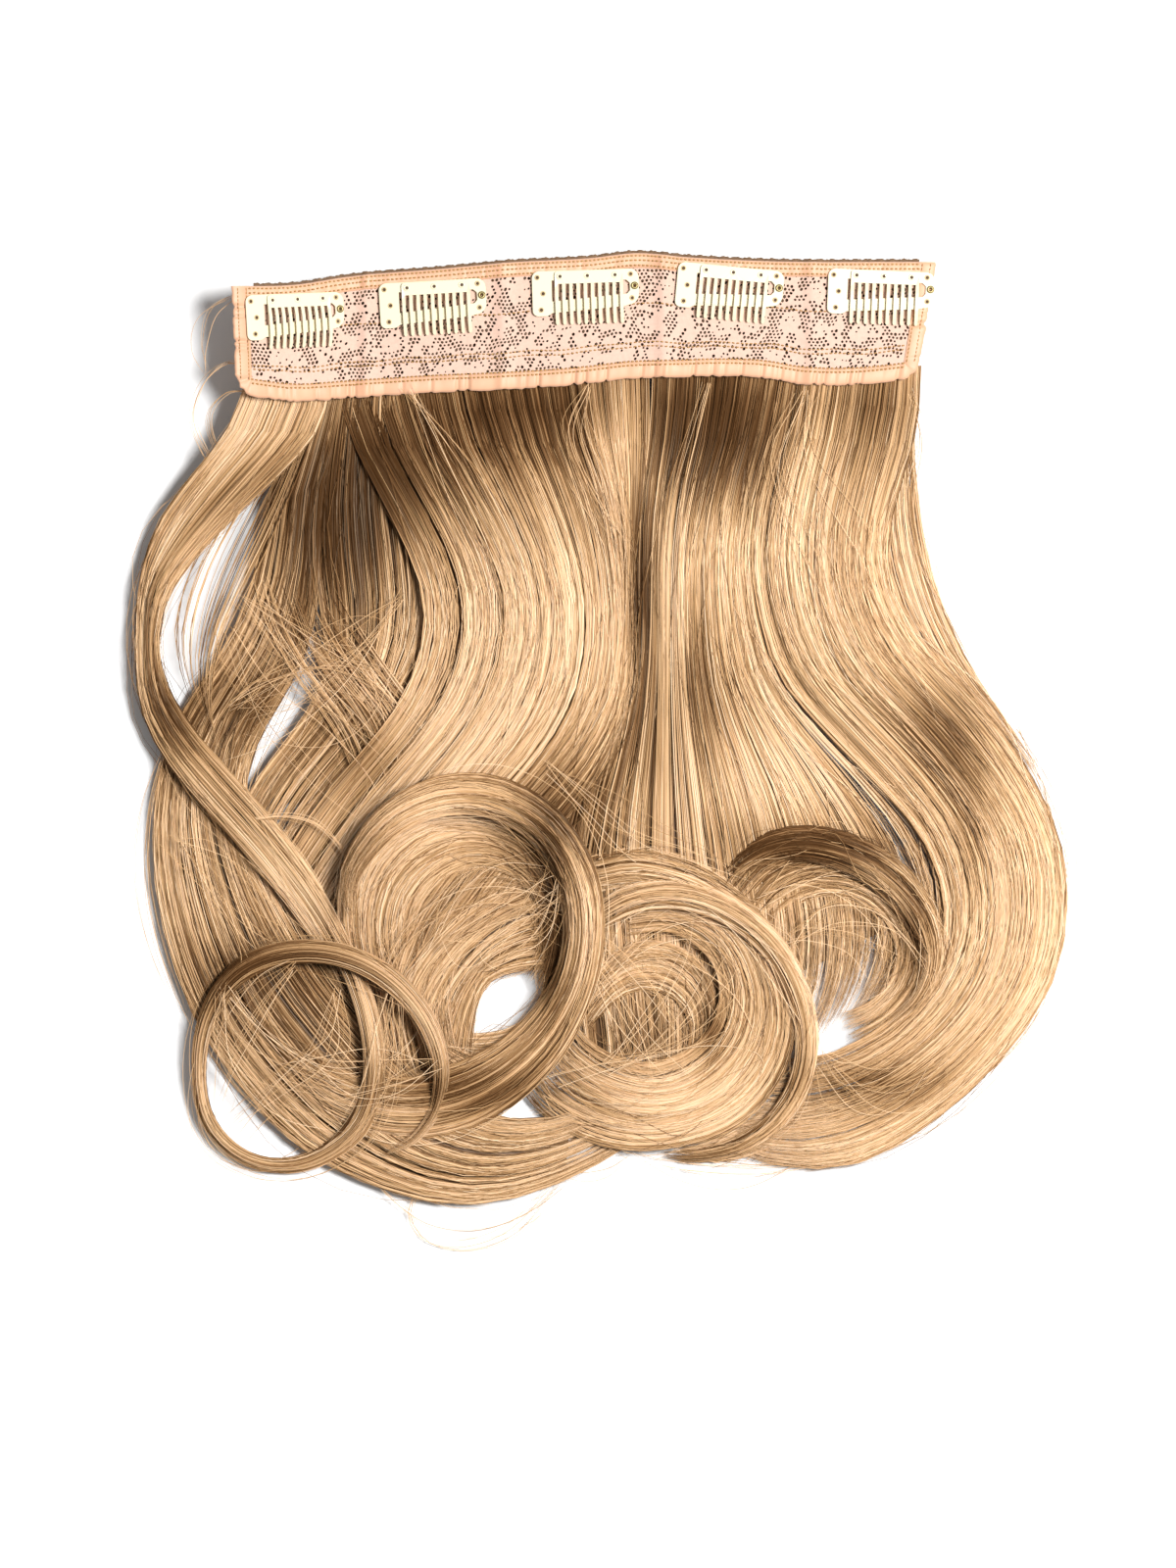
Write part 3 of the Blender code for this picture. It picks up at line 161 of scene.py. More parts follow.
        ((103.1, 1.4, 8), (97.9, -27.4, 10), (95.5, -53.2, 10), (100.7, -76.1, 10), (113.4, -96.7, 10), 
         (132.2, -115.9, 10), (148.0, -137.2, 10)),
        ((108.2, 2.1, 7), (104.1, -27.4, 9), (104.1, -53.2, 9), (109.6, -76.1, 9), (120.2, -97.8, 9), 
         (136.3, -116.6, 9), (151.4, -137.2, 9)),
        ((111.6, 2.7, 6), (109.6, -22.3, 7), (112.3, -48.0, 7), (117.8, -72.0, 7), (126.7, -94.3, 7), 
         (139.8, -114.9, 7), (154.9, -136.5, 7)),
    )),
    ("seam_right", 260, 16, 11, (0.05, 0.2), (
        ((62.3, -102.9, 15), (78.0, -122.5, 14), (95.2, -140.3, 14), (111.0, -158.5, 13), 
         (117.8, -179.0, 12), (115.1, -199.6, 11), (103.1, -216.1, 9)),
        ((71.2, -102.9, 15), (87.0, -121.8, 15), (103.4, -139.6, 15), (117.8, -157.8, 14), 
         (125.4, -179.0, 13), (122.6, -201.7, 12), (111.0, -219.5, 10)),
    )),
    ("ring_fill", 200, 18, 8, (0.1, 0.15), (
        ((-80.4, -205.8, 11), (-77.7, -223.0, 11), (-73.6, -243.5, 10)),
        ((-72.2, -212.0, 11), (-69.5, -226.4, 11), (-65.3, -243.5, 10)),
        ((-65.3, -218.8, 11), (-61.2, -230.5, 11), (-58.5, -243.5, 10)),
    )),
    ("veil", 55, 40, 11, (0.25, 0.3), (
        ((-120.9, -27.4, 15), (-134.6, -48.0, 13), (-145.6, -68.6, 11), (-149.7, -89.2, 10), 
         (-144.9, -109.8, 11), (-132.6, -127.6, 12)),
        ((-100.3, -17.2, 13), (-111.3, -44.6, 12), (-122.3, -68.6, 10), (-132.6, -89.2, 9), 
         (-137.4, -108.0, 9), (-135.3, -126.9, 9)),
    )),
    ("right_low", 260, 16, 9, (0.1, 0.2), (
        ((63.6, -247.0, 6), (53.3, -257.2, 6), (39.6, -264.1, 5), (25.9, -266.9, 4)),
        ((80.8, -250.4, 6), (63.6, -266.9, 5), (46.5, -273.0, 4), (25.9, -274.4, 3)),
    )),
    ("seam_low", 420, 26, 10, (0.15, 0.2), (
        ((3.9, -78.9, 10), (1.9, -102.9, 10), (-5.7, -126.9, 10), (-13.9, -147.5, 9), 
         (-18.7, -168.1, 8), (-18.7, -185.2, 7)),
        ((12.9, -78.9, 10), (12.2, -102.9, 10), (8.7, -126.9, 10), (4.6, -147.5, 9), (1.2, -168.1, 8), 
         (-1.5, -185.2, 7)),
    )),
    ("disc_one", 1400, 48, 9, (0.2, 0.24), (
        ((-90.0, -204.1, 9), (-92.8, -186.9, 12), (-90.7, -168.1, 15), (-80.4, -153.7, 17), 
         (-61.6, -144.7, 18), (-41.0, -146.8, 18), (-23.8, -157.1, 18), (-13.9, -174.9, 17), 
         (-11.1, -195.5, 15), (-15.3, -216.1, 12)),
        ((-76.3, -210.9, 8), (-79.7, -193.8, 10), (-77.0, -176.6, 12), (-67.4, -164.0, 14), 
         (-53.0, -157.1, 15), (-36.5, -158.5, 15), (-23.5, -167.4, 15), (-16.6, -182.5, 14), 
         (-15.9, -199.6, 12), (-20.1, -214.4, 10)),
        ((-59.9, -212.7, 6), (-64.7, -200.7, 7), (-63.3, -186.9, 9), (-55.7, -175.6, 10), 
         (-44.1, -170.1, 11), (-32.4, -172.2, 11), (-23.8, -180.1, 11), (-21.4, -190.4, 10), 
         (-23.5, -200.7, 9), (-29.7, -206.5, 8)),
    )),
    ("disc_one_low", 420, 14, 8, (0.2, 0.25), (
        ((-49.6, -176.6, 9), (-59.9, -192.1, 8), (-63.3, -209.2, 7), (-57.8, -225.7, 7), 
         (-42.7, -236.7, 8), (-23.8, -236.7, 9)),
        ((-63.3, -176.6, 9), (-72.9, -193.8, 8), (-74.9, -212.7, 7), (-68.8, -231.5, 7), 
         (-52.3, -244.2, 8), (-30.7, -246.3, 9)),
    )),
    ("disc_one_fill", 1100, 46, 8, (0.14, 0.2), (
        ((-76.3, -223.0, 8), (-67.4, -204.1, 9), (-54.7, -188.7, 10), (-39.3, -177.7, 10), 
         (-21.4, -171.5, 11), (-8.4, -173.2, 11)),
        ((-62.6, -233.9, 7), (-55.1, -213.3, 8), (-43.4, -198.3, 9), (-30.7, -189.3, 9), 
         (-16.6, -185.2, 10), (-6.3, -186.9, 10)),
        ((-46.1, -241.5, 7), (-44.8, -224.7, 7), (-41.3, -212.0, 8), (-33.1, -207.2, 8), 
         (-22.1, -205.8, 9), (-10.1, -205.8, 10)),
    )),
    ("disc_one_rim", 300, 16, 8, (0.1, 0.2), (
        ((-22.8, -183.5, 9), (-20.1, -197.2, 9), (-20.1, -209.2, 8), (-23.8, -219.5, 8), 
         (-32.4, -226.4, 7), (-46.1, -228.4, 6), (-59.9, -226.4, 6)),
        ((-8.4, -183.5, 9), (-7.0, -198.9, 9), (-9.1, -214.4, 8), (-15.9, -228.1, 7), 
         (-29.0, -238.0, 7), (-46.8, -240.8, 6), (-61.2, -238.7, 6)),
    )),
    ("disc_two_under", 600, 34, 9, (0.1, 0.2), (
        ((-11.8, -183.5, 9), (-10.5, -202.4, 8), (-9.1, -223.0, 7), (-5.0, -250.4, 6)),
        ((22.5, -180.1, 9), (25.2, -200.7, 8), (25.9, -223.0, 7), (25.9, -248.7, 6)),
        ((49.9, -183.5, 9), (53.3, -204.1, 8), (51.6, -224.7, 7), (41.3, -248.7, 6)),
    )),
    ("disc_two_fill", 520, 26, 8, (0.2, 0.25), (
        ((-5.7, -212.0, 8), (2.6, -200.7, 9), (15.6, -194.8, 10), (31.0, -199.6, 10), 
         (40.3, -214.4, 10), (38.9, -233.2, 9)),
        ((-5.0, -228.1, 7), (2.6, -217.8, 8), (13.9, -212.0, 9), (25.2, -215.4, 9), (31.4, -225.7, 9), 
         (28.6, -239.4, 8)),
    )),
    ("disc_two", 1250, 44, 9, (0.18, 0.22), (
        ((8.7, -193.8, 10), (22.5, -192.1, 12), (34.8, -198.3, 13), (41.0, -210.6, 13), 
         (38.9, -223.6, 12), (30.0, -233.2, 11), (16.3, -238.4, 9), (2.6, -235.0, 8), (-7.7, -227.1, 7), 
         (-14.6, -214.4, 6)),
        ((8.7, -183.5, 11), (27.6, -182.5, 13), (44.8, -192.1, 15), (54.0, -210.6, 15), 
         (52.7, -229.8, 14), (40.3, -246.3, 13), (22.5, -253.8, 11), (2.6, -250.4, 9), 
         (-13.5, -240.8, 7), (-23.8, -227.1, 6)),
        ((29.3, -176.6, 13), (49.9, -185.9, 16), (63.6, -204.1, 17), (67.7, -224.7, 16), 
         (62.9, -243.5, 14), (49.9, -259.3, 12), (31.0, -267.5, 10), (8.7, -269.6, 8), 
         (-11.1, -264.1, 6), (-25.6, -253.1, 5), (-33.8, -238.4, 5)),
    )),
    ("disc_three", 1000, 38, 8, (0.15, 0.22), (
        ((42.4, -176.6, 11), (53.3, -164.0, 14), (71.2, -157.8, 16), (91.1, -160.5, 17), 
         (108.2, -171.5, 17), (117.1, -188.7, 16), (115.8, -207.5, 15), (105.5, -223.6, 12), 
         (90.4, -233.2, 9)),
        ((49.9, -185.2, 9), (60.2, -173.2, 11), (74.6, -168.1, 13), (89.7, -169.8, 14), 
         (102.0, -179.0, 14), (108.9, -193.8, 13), (106.8, -209.2, 12), (97.2, -221.2, 10), 
         (84.9, -227.1, 8)),
        ((56.1, -195.5, 7), (65.7, -185.2, 8), (76.7, -180.1, 9), (88.3, -181.1, 10), 
         (97.9, -188.0, 10), (102.7, -198.3, 10), (100.7, -209.2, 9), (93.1, -217.5, 8), 
         (83.5, -220.9, 7)),
    )),
)
CURLS = (
    ("ring", 330, 12, 5, (
        (-97.6, -188.7, 10.3, 15, 6), (-88.0, -205.8, 9.3, 18, 8), (-81.8, -224.7, 9.3, 20, 10),
        (-80.4, -243.5, 8.9, 20, 10), (-85.9, -260.7, 8.6, 18, 8), (-99.3, -271.3, 6.9, 12, 4),
        (-113.4, -274.4, 5.5, 9, 1), (-127.4, -270.3, 5.5, 9, 0), (-137.7, -259.3, 5.5, 10, 0),
        (-141.1, -243.5, 5.5, 13, 3), (-138.7, -224.7, 6.9, 16, 7), (-129.8, -209.2, 8.9, 19, 10),
        (-114.7, -201.0, 9.6, 21, 13), (-95.9, -200.0, 9.6, 23, 15), (-78.4, -206.5, 9.3, 24, 16),
        (-64.0, -220.2, 7.9, 24, 17), (-56.8, -237.4, 6.9, 23, 17), (-58.5, -253.8, 5.1, 20, 14),
        (-66.0, -264.8, 3.8, 17, 12), (-76.0, -269.6, 2.1, 15, 11),
    )),
    ("curl_one", 850, 28, 8, (
        (-107.9, -236.7, 20.6, 11, 2), (-90.0, -249.0, 24.7, 14, 3), (-67.4, -253.8, 26.8, 17, 3),
        (-44.1, -248.3, 25.4, 20, 4), (-23.5, -233.2, 21.3, 23, 6), (-10.8, -213.3, 17.2, 26, 9),
        (-6.3, -192.8, 15.8, 29, 13), (-9.1, -172.2, 15.8, 31, 16), (-19.7, -155.4, 15.8, 32, 18),
        (-36.5, -145.4, 15.8, 33, 20), (-55.1, -144.4, 15.1, 33, 21), (-72.2, -151.6, 13.0, 32, 21),
        (-83.9, -164.0, 10.3, 30, 20), (-89.4, -176.3, 6.9, 28, 20), (-87.0, -187.3, 2.7, 26, 21),
    )),
    ("curl_two_band", 330, 12, 6, (
        (-3.6, -188.7, 8.9, 17, 8), (10.5, -180.8, 11.0, 20, 11), (28.3, -179.4, 11.0, 22, 13),
        (45.4, -185.6, 10.6, 23, 14), (59.5, -197.6, 9.6, 23, 14), (68.1, -213.3, 8.9, 22, 14),
        (71.5, -229.1, 8.2, 20, 12), (69.1, -245.6, 7.9, 18, 10), (60.5, -259.0, 7.5, 15, 7),
        (47.2, -267.9, 6.5, 11, 3), (33.1, -271.0, 5.1, 8, 1), (21.1, -270.6, 2.1, 6, 1),
    )),
    ("curl_two_back", 330, 14, 6, (
        (-6.3, -173.2, 15.8, 14, 2), (11.5, -169.8, 16.5, 17, 4), (31.0, -174.6, 15.8, 18, 5),
        (48.2, -185.2, 13.0, 16, 5), (60.9, -198.3, 9.6, 13, 4),
    )),
    ("curl_three_arc", 460, 18, 6, (
        (44.4, -172.2, 8.9, 13, 3), (56.1, -164.3, 12.3, 17, 6), (70.5, -161.6, 13.7, 20, 9),
        (86.3, -165.0, 14.4, 22, 11), (100.7, -173.6, 14.4, 22, 12), (111.6, -187.3, 13.0, 21, 11),
        (115.1, -203.1, 10.3, 19, 9), (109.6, -216.8, 8.2, 16, 7), (99.3, -225.7, 5.5, 13, 5),
    )),
)
# Loose strands: how many, how far they stray (mm), and the path that they follow.
WISPS = (
    (5, 1.2, ((-120.9, -0.7, 26), (-128.5, 6.2, 24), (-138.1, -0.7, 20), (-142.2, -13.7, 16),
        (-137.4, -26.1, 14), (-131.2, -35.0, 12))),
    (4, 1.0, ((-122.3, -3.4, 24), (-131.2, -4.1, 22), (-137.4, -11.7, 18), (-134.6, -23.3, 15),
        (-126.4, -32.9, 14))),
    (4, 1.6, ((-125.0, 30.9, 28), (-137.4, 24.7, 24), (-140.8, 13.0, 20), (-138.1, 2.1, 16))),
    (5, 1.5, ((-65.0, -283.3, 4), (-66.7, -292.9, 3), (-59.9, -301.2, 2), (-45.4, -303.2, 2),
        (-29.7, -297.7, 2), (-18.0, -285.4, 3), (-7.7, -271.0, 4))),
    (4, 2.0, ((-80.4, -279.5, 5), (-70.1, -288.8, 4), (-56.4, -297.0, 3), (-39.3, -299.1, 2),
        (-22.8, -292.9, 2), (-8.4, -279.9, 3))),
    (3, 1.5, ((-18.7, -275.1, 5), (-8.4, -279.2, 4), (1.9, -277.1, 4), (9.4, -269.6, 5))),
    (9, 1.0, ((-120.9, -153.0, 16), (-110.6, -151.9, 16), (-100.3, -154.4, 16), (-92.1, -161.9, 15),
        (-86.6, -172.2, 13))),
    (7, 3.0, ((108.2, -3.4, 8), (113.4, -20.6, 8), (111.0, -41.2, 9), (115.1, -61.7, 9),
        (126.1, -85.8, 8), (136.3, -106.3, 8))),
    (5, 4.0, ((145.9, -120.1, 8), (155.6, -137.2, 7), (162.4, -157.8, 6), (164.5, -178.4, 6))),
    (8, 3.0, ((-153.1, -126.9, 8), (-158.6, -147.5, 6), (-160.0, -171.5, 5), (-155.9, -195.5, 5),
        (-147.0, -219.5, 5))),
    (8, 4.0, ((70.5, -274.4, 4), (53.3, -277.8, 3), (32.8, -276.5, 3), (15.6, -271.7, 4))),
    (8, 3.0, ((-5.0, -1.7, 15), (-9.1, -17.2, 17), (-0.9, -37.7, 19), (8.7, -58.3, 18))),
    (10, 6.0, ((-66.7, -3.4, 14), (-49.6, -27.4, 18), (-32.4, -58.3, 20), (-25.6, -89.2, 20),
        (-39.3, -120.1, 18))),
    (10, 6.0, ((70.5, -3.4, 14), (63.6, -27.4, 18), (77.3, -58.3, 21), (91.1, -89.2, 20),
        (111.6, -116.6, 18))),
    (8, 5.0, ((-18.7, -133.8, 16), (-5.0, -147.5, 15), (8.7, -161.2, 15), (29.3, -168.1, 16),
        (49.9, -174.9, 16))),
    (12, 6.0, ((-80.4, -209.2, 12), (-66.7, -188.7, 14), (-46.1, -174.9, 16), (-25.6, -174.9, 16),
        (-11.8, -188.7, 15))),
    (12, 6.0, ((1.9, -209.2, 12), (15.6, -195.5, 13), (32.8, -192.1, 14), (49.9, -202.4, 15),
        (56.8, -223.0, 14))),
    (10, 6.0, ((56.8, -181.8, 13), (73.9, -174.9, 14), (91.1, -178.4, 15), (104.8, -192.1, 14),
        (108.2, -212.7, 12))),
    (14, 5.0, ((-128.5, -113.2, 12), (-114.7, -102.9, 13), (-97.6, -96.0, 14), (-80.4, -99.5, 14),
        (-66.7, -113.2, 14))),
    (10, 6.0, ((-131.9, -85.8, 10), (-120.9, -102.9, 10), (-104.4, -116.6, 11), (-90.7, -133.8, 12),
        (-83.9, -150.9, 12))),
    (6, 3.0, ((36.2, -0.7, 14), (31.4, -20.6, 18), (25.9, -44.6, 20), (23.8, -72.0, 20),
        (25.9, -102.9, 18))),
    (6, 4.0, ((-131.9, -212.7, 13), (-114.7, -229.8, 13), (-94.2, -240.1, 13), (-73.6, -236.7, 13),
        (-59.9, -223.0, 13))),
    (12, 5.0, ((-132.6, -212.7, 18), (-128.5, -229.8, 18), (-113.0, -245.2, 17), (-92.4, -252.1, 18))),
    (10, 4.0, ((-92.4, -212.7, 20), (-97.6, -233.2, 18), (-114.0, -247.0, 16), (-129.8, -260.7, 12))),
    (10, 4.0, ((-107.9, -204.1, 22), (-120.9, -216.1, 20), (-131.2, -233.2, 16), (-134.6, -250.4, 12))),
    (12, 4.0, ((-71.9, -209.2, 20), (-74.9, -229.8, 21), (-79.1, -250.4, 20), (-90.0, -268.2, 15))),
    (9, 5.0, ((-57.8, -238.4, 22), (-72.9, -244.2, 20), (-90.7, -246.3, 18), (-104.4, -240.1, 16))),
    (14, 7.0, ((-56.4, -195.5, 18), (-46.8, -183.5, 20), (-32.4, -174.9, 21), (-16.6, -176.6, 22))),
    (12, 6.0, ((-39.3, -204.1, 16), (-29.0, -195.5, 18), (-18.0, -185.2, 20), (-13.5, -168.1, 24))),
    (12, 6.0, ((-5.0, -195.5, 16), (8.7, -205.8, 15), (22.5, -223.0, 15), (29.3, -240.1, 15))),
    (12, 6.0, ((1.9, -240.1, 14), (15.6, -229.8, 15), (29.3, -212.7, 15), (36.2, -195.5, 16))),
    (12, 6.0, ((63.6, -195.5, 15), (77.3, -185.2, 16), (94.5, -186.9, 16), (104.8, -202.4, 16))),
    (14, 6.0, ((-125.0, -75.5, 13), (-107.9, -92.6, 14), (-90.7, -106.3, 15), (-73.6, -126.9, 15))),
    (12, 6.0, ((-70.1, -75.5, 15), (-83.9, -96.0, 16), (-104.4, -113.2, 15), (-125.0, -120.1, 14))),
    (10, 7.0, ((-149.0, -161.2, 14), (-135.3, -174.9, 14), (-121.6, -192.1, 15), (-107.9, -204.1, 16))),
    (14, 9.0, ((-18.7, -247.0, 14), (1.9, -253.8, 14), (25.9, -253.8, 14), (46.5, -240.1, 15))),
    (12, 8.0, ((77.3, -236.7, 13), (91.1, -247.0, 14), (108.2, -243.5, 15), (125.4, -226.4, 16))),
)
# Painted shade and painted highlights over the hair, in mm on the plan: place, reach across and up, change of tone.
PAINTED_SHADE_AND_SHINE = (
    (6, -17, 9, 20, 0.4), (23, -17, 5, 21, -0.3), (14, -67, 3, 26, -0.4), (9, -106, 5, 17, -0.1),
    (-32, -86, 21, 21, 0.06), (100, -27, 15, 31, -0.2), (-98, -72, 14, 21, -0.22),
    (-146, -202, 9, 21, -0.14), (-8, -137, 14, 21, -0.14), (-63, -21, 39, 25, -0.42),
    (-19, -9, 33, 14, -0.42), (-92, -46, 24, 27, -0.68), (41, -17, 18, 25, -0.8),
    (88, -9, 27, 13, -0.22), (38, -58, 19, 15, 0.12), (34, -108, 17, 27, -0.26), (14, -72, 5, 34, -0.5),
    (9, -129, 15, 19, -0.25), (120, -122, 14, 21, -0.42), (129, -158, 5, 24, -0.34),
    (96, -246, 24, 7, -0.42), (-160, -72, 4, 38, -0.28), (-152, -115, 8, 21, -0.42),
    (-125, -114, 21, 16, -0.34), (-60, -152, 27, 9, 0.26), (-17, -156, 12, 15, -0.42),
    (-18, -190, 4, 29, -0.55), (-4, -185, 4, 27, 0.16), (-50, -248, 38, 9, -0.44),
    (-108, -225, 21, 17, -0.26), (-116, -204, 26, 9, -0.48), (70, -162, 31, 7, -0.42),
    (57, -137, 24, 17, 0.24), (-55, -122, 24, 21, 0.14), (22, -252, 34, 15, 0.14),
    (1, -165, 9, 12, -0.32), (-19, -141, 21, 10, -0.2), (-85, -129, 15, 19, -0.34),
    (14, -228, 21, 8, -0.28), (-46, -276, 38, 8, -0.16), (-5, -86, 21, 24, 0.06),
    (148, -175, 14, 38, 0.1), (84, -45, 21, 21, 0.08), (108, -196, 5, 21, -0.45),
    (38, -226, 4, 15, -0.4), (-134, -165, 14, 21, -0.14), (-108, -10, 10, 10, 0.1),
    (-142, -38, 10, 10, -0.12), (-63, -204, 17, 17, -0.02), (-43, -177, 22, 17, -0.16),
    (-134, -213, 10, 14, -0.3), (91, -185, 17, 17, -0.05), (64, -261, 24, 9, 0.1),
)


# Strip surface, with the same values as the part's source.
STRIP_LEFT = -128.8
STRIP_LENGTH = 246.0
STRIP_HEIGHT = 44.6
LAY_HEIGHT = 10.6
RAISED_END_SLOPE = 0.5
RAISED_END_START = 0.172
BEND_SOFTNESS = 1.5
FOLD_HEIGHT = 1.3
FOLD_WIDTH = 2.6
BINDING_WIDTH = 5.8
BAND_WIDTH = 5.2
LEFT_END_SLANT = 0.006
RIGHT_END_SLANT = -0.028
STRIP_EDGES = np.array((
    (0.000, 0.725, -0.115), (0.085, 0.750, -0.160), (0.165, 0.830, -0.125), (0.290, 0.890, -0.080),
    (0.400, 0.945, -0.055), (0.505, 0.975, -0.015), (0.575, 1.015, 0.028), (0.640, 0.985, 0.038),
    (0.700, 0.965, 0.048), (0.770, 0.950, 0.036), (0.830, 0.945, -0.015), (0.900, 0.946, -0.022),
    (1.000, 0.946, 0.030)))
FOLDS = ((0.188, 1.0), (0.383, 0.8), (0.612, 1.0), (0.823, 0.8))


def hermite(rows, column, at):
    """Smooth curve through a table's rows at many values of its first column."""
    keys, values = rows[:, 0], rows[:, column]
    at = np.clip(at, keys[0], keys[-1])
    index = np.clip(np.searchsorted(keys, at, side="right") - 1, 0, len(keys) - 2)
    slopes = np.gradient(values, keys)
    span = keys[index + 1] - keys[index]
    t = (at - keys[index]) / span
    low = 2 * t**3 - 3 * t**2 + 1
    return (low * values[index] + (1 - low) * values[index + 1]
            + span * ((t**3 - 2 * t**2 + t) * slopes[index] + (t**3 - t**2) * slopes[index + 1]))


def strip_points(along, down, up=0.0):
    """World points of the strip in metres: along 0..1 from its left end, down 0..1 from its upper edge."""
    along, down = np.broadcast_arrays(np.asarray(along, float), np.asarray(down, float))
    left = STRIP_LEFT + down * LEFT_END_SLANT * STRIP_LENGTH
    right = STRIP_LEFT + STRIP_LENGTH * (1.0 + down * RIGHT_END_SLANT)
    x = left + along * (right - left)
    upper = hermite(STRIP_EDGES, 1, along) * STRIP_HEIGHT
    lower = hermite(STRIP_EDGES, 2, along) * STRIP_HEIGHT
    y = upper + down * (lower - upper)
    reach = (STRIP_LEFT + RAISED_END_START * STRIP_LENGTH - x) / BEND_SOFTNESS
    z = LAY_HEIGHT + RAISED_END_SLOPE * BEND_SOFTNESS * np.logaddexp(0.0, reach)
    for at, share in FOLDS:
        z = z + share * FOLD_HEIGHT * np.exp(-((x - STRIP_LEFT - at * STRIP_LENGTH) / FOLD_WIDTH)**2)
    return np.stack([x + PLAN_X, y + PLAN_Y, z + up], axis=-1) * MM


def strip_tall(along):
    along = np.asarray(along, float)
    return (hermite(STRIP_EDGES, 1, along) - hermite(STRIP_EDGES, 2, along)) * STRIP_HEIGHT


# Shader maths on sockets.
class Sock:
    """One socket of a node tree; arithmetic on it adds Math nodes."""

    def __init__(self, tree, socket):
        self.tree = tree
        self.socket = socket

    def math(self, operation, *others):
        made = self.tree.nodes.new("ShaderNodeMath")
        made.operation = operation
        for slot, value in zip(made.inputs, (self, *others)):
            if isinstance(value, Sock):
                self.tree.links.new(value.socket, slot)
            else:
                slot.default_value = value
        return Sock(self.tree, made.outputs[0])

    def __add__(self, other):
        return self.math("ADD", other)

    def __mul__(self, other):
        return self.math("MULTIPLY", other)

    def __sub__(self, other):
        return self.math("SUBTRACT", other)

    def __rsub__(self, other):
        return (self * -1.0) + other

    __radd__ = __add__
    __rmul__ = __mul__


class Finish:
    """A material and its Principled shader, with one method that adds any node."""

    def __init__(self, name, **constants):
        self.material = bpy.data.materials.new(name)
        self.material.use_nodes = True
        self.tree = self.material.node_tree
        self.shader = self.tree.nodes["Principled BSDF"]
        for socket, value in constants.items():
            self.shader.inputs[socket.replace("_", " ")].default_value = value

    def node(self, kind, settings=None, inputs=None, output=0):
        made = self.tree.nodes.new(kind)
        for key, value in (settings or {}).items():
            if key == "stops":
                ramp = made.color_ramp
                while len(ramp.elements) < len(value):
                    ramp.elements.new(0.5)
                for element, (place, colour) in zip(ramp.elements, value):
                    element.position = place
                    element.color = (*colour, 1.0)
            else:
                setattr(made, key, value)
        for key, value in (inputs or {}).items():
            if isinstance(value, Sock):
                self.tree.links.new(value.socket, made.inputs[key])
            else:
                made.inputs[key].default_value = value
        return Sock(self.tree, made.outputs[output])

    def mix(self, factor, first, second, blend="MIX"):
        made = self.tree.nodes.new("ShaderNodeMix")
        made.data_type = "RGBA"
        made.blend_type = blend
        slots = (made.inputs[0], made.inputs[6], made.inputs[7])
        for slot, value in zip(slots, (factor, first, second)):
            if isinstance(value, Sock):
                self.tree.links.new(value.socket, slot)
            elif isinstance(value, (int, float)):
                slot.default_value = value
            else:
                slot.default_value = (*value, 1.0)
        return Sock(self.tree, made.outputs[2])

    def feed(self, **links):
        for name, value in links.items():
            self.tree.links.new(value.socket, self.shader.inputs[name.replace("_", " ")])
        return self.material


# Hair geometry.
def resample(points, count):
    """Even stations on a smooth curve through a guide's stations; the first three columns are a place."""
    padded = np.concatenate([2 * points[:1] - points[1:2], points, 2 * points[-1:] - points[-2:-1]])
    share = np.linspace(0.0, 1.0, 12, endpoint=False)[:, None]
    dense = []
    for index in range(1, len(padded) - 2):
        before, first, second, after = padded[index - 1:index + 3]
        dense.append(0.5 * (2 * first + (second - before) * share
                            + (2 * before - 5 * first + 4 * second - after) * share**2
                            + (3 * first - before - 3 * second + after) * share**3))
    dense = np.concatenate([*dense, points[-1:]])
    reach = np.concatenate([[0.0], np.cumsum(np.linalg.norm(np.diff(dense[:, :3], axis=0), axis=1))])
    at = np.linspace(0.0, reach[-1], count)
    return np.stack([np.interp(at, reach, column) for column in dense.T], axis=1)


def guide_length(points):
    return float(np.linalg.norm(np.diff(np.asarray(points, float), axis=0), axis=1).sum())


def sheet_guides(guides, spacing):
    """The guides of a sheet at matching stations, in world millimetres."""
    rows = [np.array(guide, float) for guide in guides]
    count = max(8, round(max(guide_length(row) for row in rows) / spacing))
    found = np.stack([resample(row, count) for row in rows])
    return found + np.array([PLAN_X, PLAN_Y, 0.0])


def curl_guides(rows, spacing):
    """Three guides of a curl: its two edges and its crown, from rows of place, width, crown and foot."""
    rows = np.array(rows, float)
    heading = np.gradient(rows[:, :2], axis=0)
    heading /= np.linalg.norm(heading, axis=1)[:, None]
    aside = np.stack([-heading[:, 1], heading[:, 0]], axis=1)
    guides = []
    for side, rise in ((-0.46, 0.35), (-0.25, 0.8), (0.0, 1.0), (0.25, 0.8), (0.46, 0.35)):
        place = rows[:, :2] + aside * (side * rows[:, 2:3])
        height = rows[:, 4] + (rows[:, 3] - rows[:, 4]) * rise
        guides.append(np.column_stack([place, height]))
    count = max(8, round(guide_length(guides[2]) / spacing))
    return np.stack([resample(row, count) for row in guides]) + np.array([PLAN_X, PLAN_Y, 0.0])


def across(guides, share, along):
    """Points at shares 0..1 across and along the guides; both are arrays (strand, station)."""
    wide, long = guides.shape[0] - 1, guides.shape[1] - 1
    at = np.clip(share, 0.0, 1.0) * wide
    row = np.minimum(at.astype(int), wide - 1)
    u = (at - row)[..., None]
    at = np.clip(along, 0.0, 1.0) * long
    column = np.minimum(at.astype(int), long - 1)
    v = (at - column)[..., None]
    near = guides[row, column] * (1 - v) + guides[row, column + 1] * v
    far = guides[row + 1, column] * (1 - v) + guides[row + 1, column + 1] * v
    return near * (1 - u) + far * u


